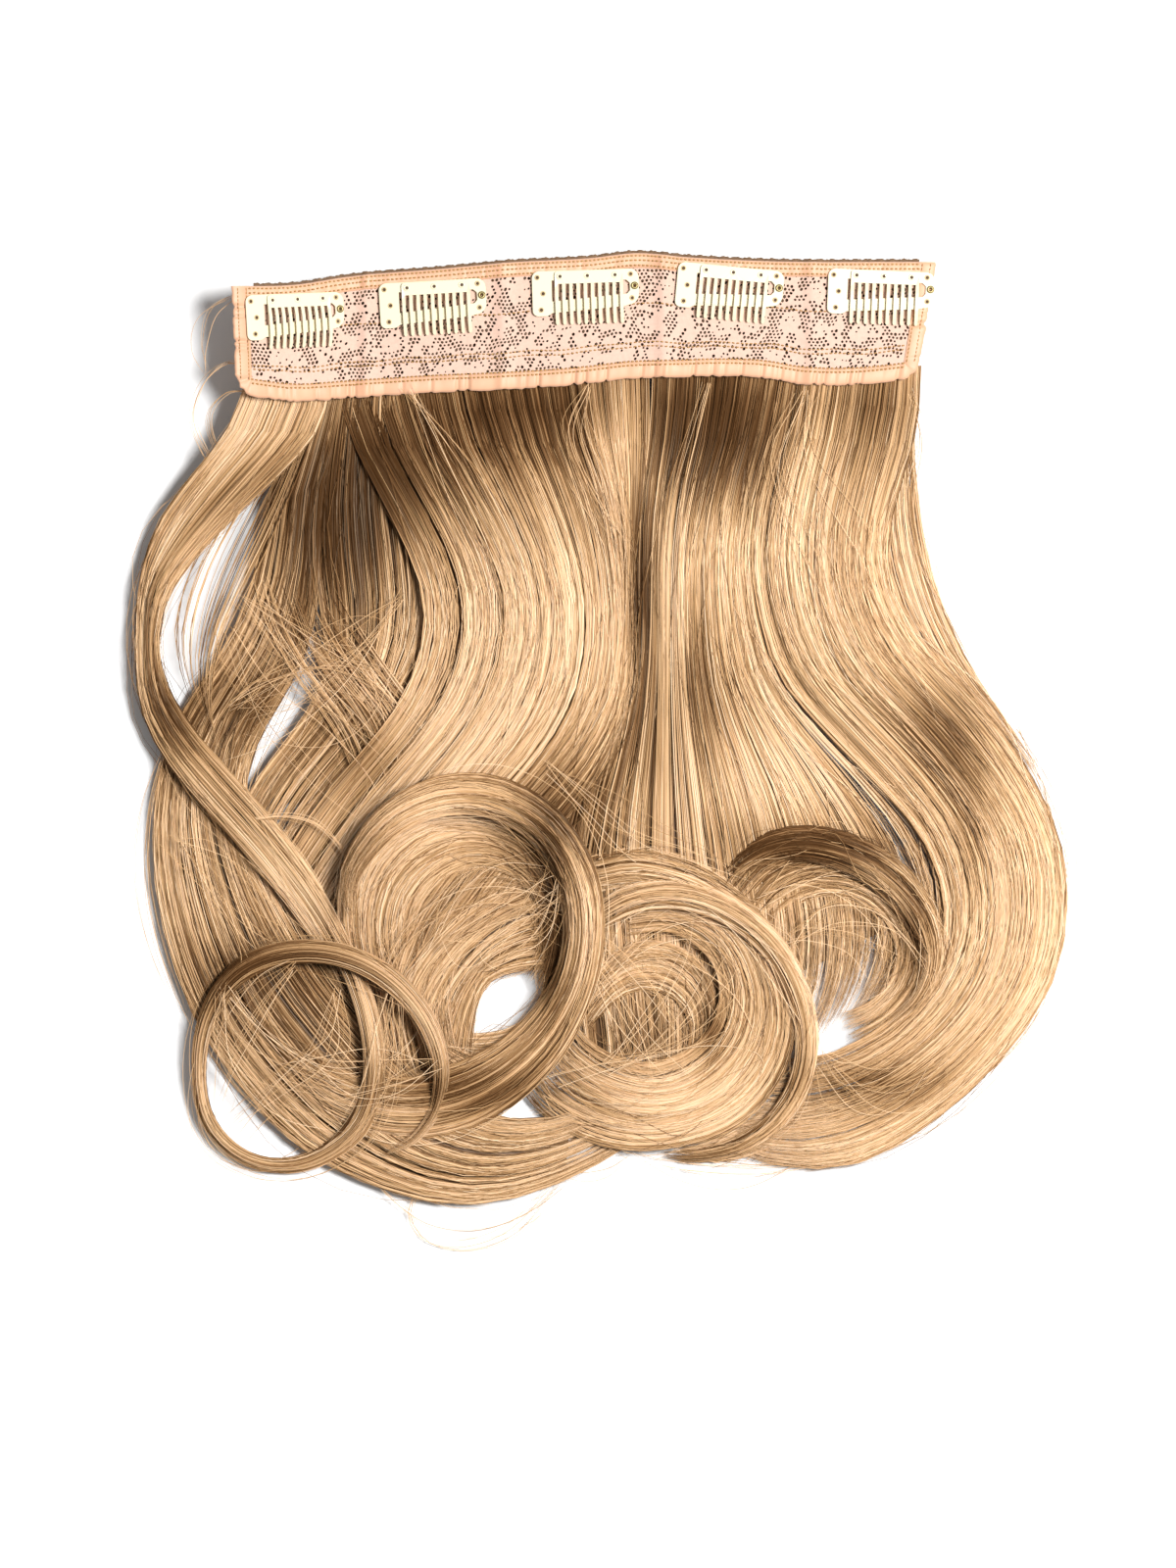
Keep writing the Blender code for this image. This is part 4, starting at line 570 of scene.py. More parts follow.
def ribbons(name, paths, widths, rolls, tones, finish):
    """One mesh of flat strands from an array of paths (strand, station, xyz) in millimetres."""
    strands, stations, _ = paths.shape
    tangent = np.gradient(paths, axis=1)
    tangent /= np.linalg.norm(tangent, axis=2)[..., None] + 1e-9
    side = np.cross(tangent, np.array([0.0, 0.0, 1.0]))
    side /= np.linalg.norm(side, axis=2)[..., None] + 1e-9
    rise = np.cross(side, tangent)
    roll = rolls[:, None, None] if rolls.ndim == 1 else rolls[..., None]
    out = side * np.cos(roll) + rise * np.sin(roll)
    half = widths[..., None] * 0.5
    points = np.stack([paths - out * half, paths + out * half], axis=2).reshape(-1, 3) * MM
    row = np.arange(stations - 1)[None, :] * 2 + np.arange(strands)[:, None] * stations * 2
    faces = np.stack([row, row + 2, row + 3, row + 1], axis=-1).reshape(-1, 4)
    mesh = bpy.data.meshes.new(name)
    mesh.vertices.add(len(points))
    mesh.vertices.foreach_set("co", points.astype(np.float32).ravel())
    mesh.loops.add(len(faces) * 4)
    mesh.loops.foreach_set("vertex_index", faces.astype(np.int32).ravel())
    mesh.polygons.add(len(faces))
    mesh.polygons.foreach_set("loop_start", np.arange(0, len(faces) * 4, 4, dtype=np.int32))
    mesh.polygons.foreach_set("loop_total", np.full(len(faces), 4, np.int32))
    mesh.update()
    mesh.validate()
    colour = mesh.color_attributes.new("strand_tone", "FLOAT_COLOR", "POINT")
    tone = np.repeat(tones.reshape(strands, stations, -1), 2, axis=1).reshape(-1, tones.shape[-1])
    colour.data.foreach_set("color", np.column_stack([tone, np.ones(len(tone))]).astype(np.float32).ravel())
    mesh.polygons.foreach_set("use_smooth", np.ones(len(faces), bool))
    mesh.materials.append(finish)
    made = bpy.data.objects.new(name, mesh)
    bpy.context.scene.collection.objects.link(made)
    return made


def painted_light_at(paths):
    """Change of tone from the named areas of painted shade and painted highlight."""
    found = np.zeros(paths.shape[:2])
    for x, y, wide, tall, amount in PAINTED_SHADE_AND_SHINE:
        far = ((paths[..., 0] - PLAN_X - x) / wide)**2 + ((paths[..., 1] - PLAN_Y - y) / tall)**2
        found += amount * np.exp(-far)
    return found


def strand_sheet(name, guides, count, clumps, rng, settings, finish, depth=2.4, wander=0.4, fly=0.045,
                 ends=(0.0, 0.1), painted_light_curve=None):
    """Strands laid between guides, gathered into uneven clumps, thinning to their tips."""
    stations = guides.shape[1]
    s = np.linspace(0.0, 1.0, stations)[None, :]
    start = ends[0] * rng.random((count, 1))**1.2
    stop = 1.0 - ends[1] * rng.random((count, 1))**1.2
    t = start + (stop - start) * s
    centre = np.sort(rng.random(clumps)) * 0.7 + (np.arange(clumps) + 0.5) / clumps * 0.3
    member = rng.integers(0, clumps, count)
    gap = np.gradient(centre)[member]
    own = np.clip(centre[member] + rng.normal(0.0, 0.5, count) * np.maximum(gap, 0.5 / clumps), 0.0, 1.0)
    pull = 0.42 * np.clip(t * 1.2, 0.0, 1.0)
    phase = rng.uniform(0.0, math.tau, clumps)[member][:, None]
    share = own[:, None] + (centre[member] - own)[:, None] * pull
    share = share + 0.22 / clumps * np.sin(t * 8.0 + phase) * np.clip(t * 3.0, 0.0, 1.0)
    paths = across(guides, share, t)
    under = rng.beta(1.0, 1.7, count)
    level = rng.uniform(-0.8, 0.0, clumps)[member][:, None]
    far = ((own - centre[member]) / np.maximum(gap, 0.5 / clumps))[:, None]
    paths[..., 2] += 0.3 * np.sin(t * 5.0 + phase * 1.7) + level - depth * under[:, None] - 0.3 * far**2
    loose = rng.random(count) < fly
    reach = np.where(loose, rng.uniform(1.5, 5.5, count), rng.uniform(0.05, wander, count))[:, None]
    for axis, scale in ((0, 1.0), (1, 1.0), (2, 0.4)):
        speed = rng.uniform(0.8, 3.2, (count, 1))
        turn = rng.uniform(0.0, math.tau, (count, 1))
        paths[..., axis] += scale * reach * np.sin(t * speed * math.tau + turn) * np.clip(t * 5.0, 0.0, 1.0)
    paths[..., 2] = np.maximum(paths[..., 2], 0.4)
    thin = np.clip((1.0 - s) * 7.0, 0.2, 1.0) * np.clip(0.5 + s * 8.0, 0.5, 1.0)
    size = settings.strand_width / MM * rng.uniform(0.6, 1.25, (count, 1)) * np.where(loose, 0.6, 1.0)[:, None]
    shade = 0.655 + rng.normal(0.0, 0.20, count)[:, None] + rng.normal(0.0, 0.07, clumps)[member][:, None]
    # Painted shade: strands lying deeper under the surface, and strands out at a clump's edge, are darker.
    shade = shade - 0.36 * under[:, None] + 0.05 * np.sin(t * 9.0 + phase)
    shade = shade - 0.10 * np.clip(np.abs(far) - 0.6, 0.0, 1.0)
    # Painted shade and highlight along the sheet, from its curve.
    if painted_light_curve is not None:
        shade = shade + np.interp(t, np.linspace(0, 1, len(painted_light_curve)), painted_light_curve)
    # Painted shade and highlights from the listed areas.
    shade = shade + painted_light_at(paths)
    shade = np.clip(shade, 0.0, 1.0)
    tones = np.stack([shade, np.broadcast_to(rng.random((count, 1)), shade.shape), t], axis=-1)
    return ribbons(name, paths, size * thin, rng.normal(0.0, 0.42, count), tones, finish)


def under_layer(name, guides, thickness, finish, inset=0.05, drop=3.0, ends=(0.0, 0.1)):
    """Packed hair under the loose strands, dark as painted shade: a grid shaped to the guides and given a thickness."""
    stations, sides = max(6, guides.shape[1] // 2), 8
    work = bmesh.new()
    bmesh.ops.create_grid(work, x_segments=stations - 1, y_segments=sides, size=1.0)
    for vert in work.verts:
        along = ends[0] + (1.0 - ends[1] - ends[0]) * (vert.co.x + 1.0) / 2.0
        share = inset + (1.0 - 2.0 * inset) * (vert.co.y + 1.0) / 2.0
        place = across(guides, np.array([[share]]), np.array([[along]]))[0, 0]
        edge = abs(vert.co.y)**4
        vert.co = Vector(place) * MM
        vert.co.z = max(vert.co.z - (drop + 1.2 * edge) * MM, 0.8 * MM)
    bmesh.ops.recalc_face_normals(work, faces=work.faces)
    if sum(face.normal.z for face in work.faces) < 0:
        bmesh.ops.reverse_faces(work, faces=work.faces)
    bmesh.ops.solidify(work, geom=work.faces[:], thickness=thickness * MM)
    for vert in work.verts:
        vert.co.z = max(vert.co.z, 0.1 * MM)
    mesh = bpy.data.meshes.new(name)
    work.to_mesh(mesh)
    work.free()
    mesh.polygons.foreach_set("use_smooth", np.ones(len(mesh.polygons), bool))
    mesh.materials.append(finish)
    made = bpy.data.objects.new(name, mesh)
    bpy.context.scene.collection.objects.link(made)
    return made


def root_layer(finish):
    """Packed hair behind the lace, where the wefts are sewn in rows."""
    along, down = np.meshgrid(np.linspace(0.02, 0.98, 90), np.linspace(0.02, 0.985, 24), indexing="ij")
    sag = 2.2 + 0.5 * np.abs(np.sin(down * 5 * math.pi))
    top = strip_points(along, down) - np.array([0, 0, MM]) * sag[..., None]
    low = top - np.array([0.0, 0.0, 4.0 * MM])
    low[..., 2] = np.maximum(low[..., 2], 0.1 * MM)
    wide, tall = along.shape
    index = np.arange(wide * tall).reshape(wide, tall)
    quads = np.stack([index[:-1, :-1], index[1:, :-1], index[1:, 1:], index[:-1, 1:]], -1).reshape(-1, 4)
    rim = np.concatenate([index[:, 0], index[-1, 1:], index[-2::-1, -1], index[0, -2:0:-1]])
    sides = np.stack([rim, np.roll(rim, -1), np.roll(rim, -1) + wide * tall, rim + wide * tall], -1)
    faces = np.concatenate([quads, quads[:, ::-1] + wide * tall, sides])
    made = mesh_object("packed_roots", np.concatenate([top.reshape(-1, 3), low.reshape(-1, 3)]), faces, finish)
    work = bmesh.new()
    work.from_mesh(made.data)
    bmesh.ops.recalc_face_normals(work, faces=work.faces)
    work.to_mesh(made.data)
    work.free()
    return made


def wisps(name, rng, settings, finish):
    """Single loose strands around the edges, a few to each chosen path."""
    paths, widths, rolls, tones = [], [], [], []
    stations = 22
    for number, spread, points in WISPS:
        base = resample(np.array(points, float) + np.array([PLAN_X, PLAN_Y, 0.0]), stations)
        t = np.linspace(0.0, 1.0, stations)[:, None]
        for _ in range(number):
            shift = rng.normal(0.0, spread, 3) * np.array([1.0, 1.0, 0.2])
            bend = rng.normal(0.0, spread, 3) * np.array([1.0, 1.0, 0.2])
            path = base + shift * (0.3 + 0.7 * t) + bend * np.sin(t * math.pi)
            path[:, 2] = np.maximum(path[:, 2], 0.3)
            paths.append(path)
            widths.append(settings.strand_width / MM * rng.uniform(0.45, 0.8) * np.clip((1 - t[:, 0]) * 6, 0.3, 1.0))
            rolls.append(rng.normal(0.0, 0.5))
            tones.append(np.column_stack([np.full(stations, rng.uniform(0.42, 0.95)),
                                          np.full(stations, rng.random()), t[:, 0]]))
    return ribbons(name, np.stack(paths), np.stack(widths), np.array(rolls), np.stack(tones), finish)


def hair_finish():
    """Strand finish: each strand's tone between brown and pale gold, holding its own colour and the painted shade and
    highlights, glossy along its length.
    """
    made = Finish("golden_strands", Roughness=0.38, Specular_IOR_Level=0.20, Specular_Tint=(1.0, 0.82, 0.58, 1.0))
    tone = made.node("ShaderNodeAttribute", {"attribute_name": "strand_tone"})
    parts = made.node("ShaderNodeSeparateColor", None, {0: tone})
    green = Sock(made.tree, parts.socket.node.outputs[1])
    colour = made.node("ShaderNodeValToRGB", {"stops": (
        (0.0, (0.075, 0.032, 0.010)), (0.25, (0.220, 0.110, 0.044)), (0.5, (0.52, 0.312, 0.145)),
        (0.75, (0.80, 0.528, 0.298)), (1.0, (0.93, 0.690, 0.455)))}, {0: parts})
    warm = made.mix(green * 0.5, colour, (0.80, 0.52, 0.26), "MULTIPLY")
    final = made.mix(0.35, colour, warm)
    return made.feed(Base_Color=final)


def under_finish():
    """Packed hair under the loose strands: dark brown as painted shade of the hair beneath, with fine streaks."""
    made = Finish("packed_hair_painted_shade", Roughness=0.6)
    place = made.node("ShaderNodeTexCoord", output=3)
    noise = made.node("ShaderNodeTexNoise", None, {"Vector": place, "Scale": 420.0, "Detail": 3.0})
    colour = made.mix(noise, (0.085, 0.042, 0.018), (0.24, 0.130, 0.058))
    return made.feed(Base_Color=colour)


# Painted shade and highlight along each sheet, for the light on its waves: lighter or darker at even stations from the
# strip to the tips.
PAINTED_LIGHT_ALONG_SHEETS = {
    "centre": (-0.14, -0.14, -0.06, 0.06, 0.14, 0.14, 0.08, 0.0, 0.0, 0.0, 0.0, 0.0),
    "right_inner": (-0.12, -0.10, -0.06, 0.06, 0.04, 0.0, 0.0, 0.06, 0.08, 0.02, 0.0, -0.05),
    "right_outer": (-0.04, 0.0, 0.02, 0.06, 0.08, 0.0, -0.06, -0.04, 0.02, 0.08, 0.1, 0.05, 0.0, 0.0, 0.05, 0.05),
    "outer_left": (0.22, 0.22, 0.0, 0.0, 0.02, 0.04, 0.0, -0.06, -0.04, 0.0, 0.10, 0.08, 0.0),
    "left_inner": (0.0, -0.06, -0.12, -0.12, -0.06, -0.12, -0.12, -0.05, 0.06, 0.04, 0.0, -0.04, -0.08, -0.06,
                   0.0, 0.0, 0.0, 0.0, 0.0),
    "crossing": (0.0, 0.05, 0.16, 0.16, 0.1, -0.05),
    "loose_right": (0.0, 0.10, 0.20, 0.20, 0.15, 0.05),
    "disc_one": (0.0, 0.08, 0.1, 0.08, 0.0, -0.08, -0.1, -0.14, -0.14, -0.1),
    "disc_two": (0.05, 0.0, -0.06, -0.04, 0.04, 0.06, 0.04, 0.0, -0.1),
    "disc_three": (-0.22, -0.20, -0.16, -0.10, -0.06, 0.0, 0.05, 0.05, 0.05),
    "ring": (0.08, 0.12, 0.06, 0.0, -0.05, -0.10, -0.02, 0.05, 0.0, -0.05, -0.08, -0.05, 0.05, 0.10, 0.10, 0.05),
    "curl_one": (0.12, 0.14, 0.08, -0.05, -0.1, -0.1, 0.0, 0.08, 0.0, -0.10, -0.12, -0.10, -0.10),
    "curl_two_band": (0.05, 0.08, 0.12, 0.14, 0.08, -0.05, -0.22, -0.2),
    "curl_two_back": (0.1, 0.05, -0.02, -0.1),
    "curl_three_arc": (-0.28, -0.30, -0.28, -0.22, -0.12, -0.05, 0.0, 0.05),
}


class HairSettings(bpy.types.PropertyGroup):
    """Sizes of the hair."""

    strand_width: FloatProperty(name="Strand width", description="Width of one laid strand", default=0.00027,
                                unit="LENGTH", min=0.0001, max=0.001)
    density: FloatProperty(name="Density", description="Share of the planned strands", default=1.0, min=0.1, max=1.5)
    seed: IntProperty(name="Seed", description="Start of the strands' own variation", default=7)


class StripSettings(bpy.types.PropertyGroup):
    """Sizes and colours of the lace strip."""

    net_pitch: FloatProperty(name="Net pitch", description="Distance between the net's holes", default=0.00142,
                             unit="LENGTH", min=0.0006, max=0.003)
    lace_colour: FloatVectorProperty(name="Lace colour", description="Thread of the lace", subtype="COLOR",
                                     default=(0.71, 0.48, 0.375), min=0.0, max=1.0)
    satin_colour: FloatVectorProperty(name="Satin colour", description="Binding and band", subtype="COLOR",
                                      default=(0.72, 0.40, 0.24), min=0.0, max=1.0)


class StageSettings(bpy.types.PropertyGroup):
    """Light and camera."""

    key_power: FloatProperty(name="Key light", description="Power of the soft key light", default=34.0, unit="POWER",
                             min=0.0)
    sky_strength: FloatProperty(name="Fill", description="Strength of the even white fill", default=0.24, min=0.0)


def bind(made, *nodes, slot=None):
    """Ride a piece on the hairpiece and hide the solids it stands for; slot is not used."""
    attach(made, "hairpiece")
    if nodes:
        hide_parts(*nodes)
    return made


class HAIRPIECE_OT_hair(bpy.types.Operator):
    """Lay the sheets and curls of hair, each with its packed under layer"""

    bl_idname = "hairpiece.hair"
    bl_label = "Hair"

    def execute(self, context):
        settings = context.scene.hairpiece_hair
        strands, packed = hair_finish(), under_finish()
        for index, (name, count, clumps, step, ends, guides) in enumerate(SHEETS):
            rng = np.random.default_rng(settings.seed * 100 + index)
            laid = sheet_guides(guides, step)
            number = max(20, round(count * settings.density))
            made = strand_sheet(f"strands_{name}", laid, number, clumps, rng, settings, strands, ends=ends,
                                painted_light_curve=PAINTED_LIGHT_ALONG_SHEETS.get(name))
            bind(made, "hair", slot="golden_brown_hair")
            if name not in ("crossing", "veil", "loose_right", "seam_right", "ring_fill"):
                thick = 4.0 if name.startswith(("disc", "outer", "right_low")) else 6.0
                core = under_layer(f"packed_{name}", laid, thick, packed, ends=ends)
                bind(core, "hair", slot="golden_brown_hair")
        for index, (name, count, clumps, step, rows) in enumerate(CURLS):
            rng = np.random.default_rng(settings.seed * 100 + 50 + index)
            laid = curl_guides(rows, step)
            number = max(20, round(count * settings.density))
            made = strand_sheet(f"strands_{name}", laid, number, clumps, rng, settings, strands,
                                wander=0.5, fly=0.05, ends=(0.12, 0.16), painted_light_curve=PAINTED_LIGHT_ALONG_SHEETS.get(name))
            bind(made, "hair", slot="golden_brown_hair")
            core = under_layer(f"packed_{name}", laid, 2.2, packed, inset=0.16, ends=(0.12, 0.2))
            bind(core, "hair", slot="golden_brown_hair")
        # The roots behind the lace take the same dark finish, painted shade under the lace.
        bind(root_layer(packed), "hair", slot="golden_brown_hair")
        rng = np.random.default_rng(settings.seed)
        bind(wisps("strands_wisps", rng, settings, strands), "hair", slot="golden_brown_hair")
        return {"FINISHED"}


class HAIRPIECE_OT_stage(bpy.types.Operator):
    """Set the pale floor, the soft light and the camera straight above"""

    bl_idname = "hairpiece.stage"
    bl_label = "Stage"

    def execute(self, context):
        settings = context.scene.hairpiece_stage
        scene = context.scene
        floor_finish = Finish("pale_floor", Roughness=0.9, Specular_IOR_Level=0.1)
        floor_finish.shader.inputs["Base Color"].default_value = (0.97, 0.97, 0.97, 1.0)
        bpy.ops.mesh.primitive_plane_add(size=6.0, location=(0.0, 0.0, -0.0002))
        floor = context.active_object
        floor.name = "floor"
        floor.data.materials.append(floor_finish.material)
        world = bpy.data.worlds.new("even_fill")
        world.use_nodes = True
        sky = world.node_tree.nodes["Background"]
        sky.inputs[0].default_value = (1.0, 1.0, 1.0, 1.0)
        sky.inputs[1].default_value = settings.sky_strength
        scene.world = world
        lamp = bpy.data.lights.new("key", "AREA")
        lamp.shape = "DISK"
        lamp.size = 0.42
        lamp.energy = settings.key_power
        key = bpy.data.objects.new("key", lamp)
        key.location = (0.52, 0.16, 1.40)
        key.rotation_euler = (Vector((0.0, 0.0, 0.0)) - key.location).to_track_quat("-Z", "Y").to_euler()
        scene.collection.objects.link(key)
        lens = bpy.data.cameras.new("camera")
        lens.sensor_fit = "VERTICAL"
        lens.sensor_height = 36.0
        lens.lens = 180.0
        camera = bpy.data.objects.new("camera", lens)
        tall = 1600 * 0.343 * MM
        camera.location = (((600 - 614.5) * 0.343 + PLAN_X) * MM, ((390 - 800) * 0.343 + PLAN_Y) * MM,
                           tall * lens.lens / lens.sensor_height + 0.012)
        scene.collection.objects.link(camera)
        scene.camera = camera
        scene.view_settings.view_transform = "Standard"
        return {"FINISHED"}


def mesh_object(name, points, faces, finish, smooth=False):
    """A piece from arrays of points (metres) and faces."""
    mesh = bpy.data.meshes.new(name)
    mesh.from_pydata([tuple(point) for point in points], [], [tuple(face) for face in faces])
    mesh.validate()
    mesh.polygons.foreach_set("use_smooth", np.full(len(mesh.polygons), smooth))
    mesh.materials.append(finish)
    made = bpy.data.objects.new(name, mesh)
    bpy.context.scene.collection.objects.link(made)
    return made


def motif(s, t):
    """How closely the net is filled, 0 to 1: blossoms of notched petals, leaf sprays and scrolls, in mm."""
    rng = np.random.default_rng(21)
    fill = np.zeros_like(s)
    for row, level in enumerate((6.5, 19.0, 31.0)):
        for place in np.arange(4.0 + 6.5 * (row % 2), 245.0, 13.0):
            at_s = place + rng.uniform(-1.8, 1.8)
            at_t = level + rng.uniform(-2.0, 2.0)
            size = rng.uniform(2.8, 4.9)
            lobes = int(rng.integers(5, 7))
            turn = rng.uniform(0.0, math.tau)
            du, dv = s - at_s, t - at_t
            far, angle = np.hypot(du, dv), np.arctan2(dv, du) + turn
            edge = size * (0.82 + 0.18 * np.abs(np.cos(angle * lobes / 2))**0.6)
            petal = (far < edge) & (np.abs(far - size * 0.42) > 0.42)
            vein = (np.abs(np.sin(angle * lobes / 2)) < 0.10) & (far > size * 0.5)
            fill = np.where(petal & ~vein, 1.0, np.where(far < edge, 0.45, fill))
            for side in (-1.0, 1.0):
                lean = turn + side * 1.1
                along = (du * math.cos(lean) + dv * math.sin(lean)) * side - size - 2.2
                aside = -du * math.sin(lean) + dv * math.cos(lean) - 0.10 * along**2
                leaf = (along / 2.6)**2 + (aside / 1.15)**2 < 1.0
                fill = np.where(leaf & (far > edge), 1.0, fill)
            scroll = np.abs(far - size - 1.3 - 0.5 * angle) < 0.55
            fill = np.where(scroll & (np.abs(angle - turn) < 1.6), 1.0, fill)
    return fill


def lace_mesh(pitch, finish):
    """Hexagonal net over the strip, its holes closed where the motif is."""
    radius = pitch / math.sqrt(3.0)
    usable = STRIP_LENGTH - 2 * (BINDING_WIDTH - 0.8)
    columns = int(usable / pitch)
    rows = int((STRIP_HEIGHT * 1.08 - BAND_WIDTH - BINDING_WIDTH + 1.6) / (1.5 * radius))
    column, row = np.meshgrid(np.arange(columns), np.arange(rows), indexing="ij")
    s = (column + 0.5 * (row % 2) + 0.5) * pitch
    t = (row + 0.5) * 1.5 * radius
    s, t = s.ravel(), t.ravel()
    fill = motif(s, t)
    shut = np.random.default_rng(4).random(len(s)) < np.where(fill > 0.3, 0.4, 0.06)
    angles = np.radians(60.0 * np.arange(6) + 30.0)
    ring_s = s[:, None] + radius * np.cos(angles)
    ring_t = t[:, None] + radius * np.sin(angles)
    keys = np.round(np.stack([ring_s, ring_t], -1).reshape(-1, 2) / (radius * 0.2)).astype(np.int64)
    _, first, index = np.unique(keys, axis=0, return_index=True, return_inverse=True)
    outer = np.stack([ring_s.ravel(), ring_t.ravel()], -1)[first]
    index = index.reshape(-1, 6)
    rng = np.random.default_rng(3)
    hole = np.where(fill > 0.3, 0.30, 0.48) + 0.28 * rng.random(len(s))
    open_cells = (fill < 0.5) & ~shut
    inner_s = s[:, None] + radius * hole[:, None] * np.cos(angles)
    inner_t = t[:, None] + radius * hole[:, None] * np.sin(angles)
    inner = np.stack([inner_s[open_cells], inner_t[open_cells]], -1).reshape(-1, 2)
    start = len(outer) + np.arange(open_cells.sum())[:, None] * 6
    ring = index[open_cells]
    faces = []
    for corner in range(6):
        after = (corner + 1) % 6
        faces.append(np.column_stack([ring[:, corner], ring[:, after], start[:, 0] + after, start[:, 0] + corner]))
    quads = np.concatenate(faces)
    solid = index[~open_cells]
    quads = np.concatenate([quads, solid[:, [0, 1, 2, 3]], solid[:, [0, 3, 4, 5]]])
    flat = np.concatenate([outer, inner])
    pull = 0.30 * np.sin(flat[:, 0] * 0.33 + flat[:, 1] * 0.21) + 0.16 * np.sin(flat[:, 0] * 0.9 - flat[:, 1] * 0.5)
    flat = flat + np.stack([0.5 * np.sin(flat[:, 1] * 0.35 + flat[:, 0] * 0.08), pull], axis=1)
    along = (flat[:, 0] + BINDING_WIDTH - 0.8) / STRIP_LENGTH
    share = (flat[:, 1] + BAND_WIDTH - 1.2) / strip_tall(along)
    keep = share < 1.0 - (BINDING_WIDTH - 0.8) / strip_tall(along)
    share = np.minimum(share, 1.0)
    points = strip_points(along, share, 0.0)
    quads = quads[keep[quads].all(axis=1)]
    used, quads = np.unique(quads, return_inverse=True)
    return mesh_object("lace_net", points[used], quads.reshape(-1, 4), finish, True)


def swept(name, rows, finish, closed=True, smooth=True):
    """A closed bar, or an open strip of cloth, through sections of equal length (arrays of world points)."""
    rows = np.asarray(rows)
    count, corners, _ = rows.shape
    faces = []
    for row in range(count - 1):
        for corner in range(corners if closed else corners - 1):
            after = (corner + 1) % corners
            faces.append((row * corners + corner, row * corners + after,
                          (row + 1) * corners + after, (row + 1) * corners + corner))
    if closed:
        faces.append(tuple(reversed(range(corners))))
        faces.append(tuple((count - 1) * corners + corner for corner in range(corners)))
    made = mesh_object(name, rows.reshape(-1, 3), faces, finish, smooth)
    work = bmesh.new()
    work.from_mesh(made.data)
    bmesh.ops.recalc_face_normals(work, faces=work.faces)
    work.to_mesh(made.data)
    work.free()
    return made


def gather(x, seed):
    """Irregular ruffle along a length in mm, about -1 to 1."""
    return (0.5 * np.sin(x * 0.75 + seed) + 0.3 * np.sin(x * 1.63 + 2.1 * seed)
            + 0.35 * np.sin(x * 0.31 + 0.7 * seed) * np.sin(x * 2.4 + seed))


def creases(run, seed, least, most):
    """Depth 0 to 1 of narrow folds at uneven places along a length in mm."""
    rng = np.random.default_rng(seed)
    deep = np.zeros_like(run)
    place = rng.uniform(least, most)
    while place < run[-1]:
        width = rng.uniform(0.35, 0.8)
        deep += rng.uniform(0.1, 1.0) * np.exp(-((run - place) / width)**2)
        place += least + rng.exponential(0.5 * (most - least))
    return np.clip(deep, 0.0, 1.2)


def binding_path(spacing):
    """Inner and outer points of the U-shaped binding in strip shares, and the run along it in mm."""
    pairs = []
    side = BINDING_WIDTH / STRIP_LENGTH
    left_tall, right_tall = float(strip_tall(0.0)), float(strip_tall(1.0))
    steps = max(4, int((left_tall - BINDING_WIDTH) / spacing))
    for down in np.linspace(0.0, 1.0 - (BINDING_WIDTH + 1.0) / left_tall, steps):
        pairs.append(((side, down), (0.0, down)))
    turns = 7
    for step in range(1, turns):
        angle = math.radians(90.0 * step / turns)
        reach = BINDING_WIDTH + 0.6
        pairs.append(((side + 0.02 * step / STRIP_LENGTH, 1.0 - (BINDING_WIDTH + 0.1 * (turns - step)) / left_tall),
                      (reach * (1.0 - math.cos(angle)) / STRIP_LENGTH,
                       1.0 - reach * (1.0 - math.sin(angle)) / left_tall)))
    steps = int((STRIP_LENGTH - 2 * BINDING_WIDTH) / spacing)
    for along in np.linspace(side + 0.8 / STRIP_LENGTH, 1.0 - side - 0.8 / STRIP_LENGTH, steps):
        pairs.append(((along, 1.0 - BINDING_WIDTH / float(strip_tall(along))), (along, 1.0)))
    for step in range(turns - 1, 0, -1):
        angle = math.radians(90.0 * step / turns)
        reach = BINDING_WIDTH + 0.6
        pairs.append(((1.0 - side - 0.02 * step / STRIP_LENGTH,
                       1.0 - (BINDING_WIDTH + 0.1 * (turns - step)) / right_tall),
                      (1.0 - reach * (1.0 - math.cos(angle)) / STRIP_LENGTH,
                       1.0 - reach * (1.0 - math.sin(angle)) / right_tall)))
    steps = max(4, int((right_tall - BINDING_WIDTH) / spacing))
    for down in np.linspace(1.0 - (BINDING_WIDTH + 1.0) / right_tall, 0.0, steps):
        pairs.append(((1.0 - side, down), (1.0, down)))
    return np.array(pairs)


def binding_mesh(finish):
    """Gathered satin folded over the lace's edge: ridged crown, ruffled outer edge."""
    pairs = binding_path(0.55)
    inner = strip_points(pairs[:, 0, 0], pairs[:, 0, 1]) / MM
    outer = strip_points(pairs[:, 1, 0], pairs[:, 1, 1]) / MM
    run = np.concatenate([[0.0], np.cumsum(np.linalg.norm(np.diff(outer, axis=0), axis=1))])
    away = outer - inner
    away /= np.linalg.norm(away, axis=1)[:, None]
    ruffle = 0.55 * gather(run * 0.6, 1.3)
    fold = creases(run, 5, 1.4, 8.5)
    sections = []
    for share, up, wave, edge in ((0.0, 0.45, 0.10, 0.0), (0.12, 0.75, 0.18, 0.0), (0.35, 0.95, 0.30, 0.05),
                                  (0.6, 0.85, 0.34, 0.1), (0.85, 0.65, 0.30, 0.25), (1.0, 0.25, 0.26, 0.45),
                                  (1.0, -0.25, 0.26, 0.45), (0.6, -0.6, 0.0, 0.1), (0.0, -0.45, 0.0, 0.0)):
        row = inner + (outer - inner) * share + away * (edge * (ruffle - 1.9 * fold))[:, None]
        row = row + np.array([0.0, 0.0, 1.0]) * (up + wave * (0.8 * ruffle - 3.4 * fold))[:, None]
        sections.append(row)
    return swept("satin_binding", np.stack(sections, axis=1) * MM, finish, closed=False)


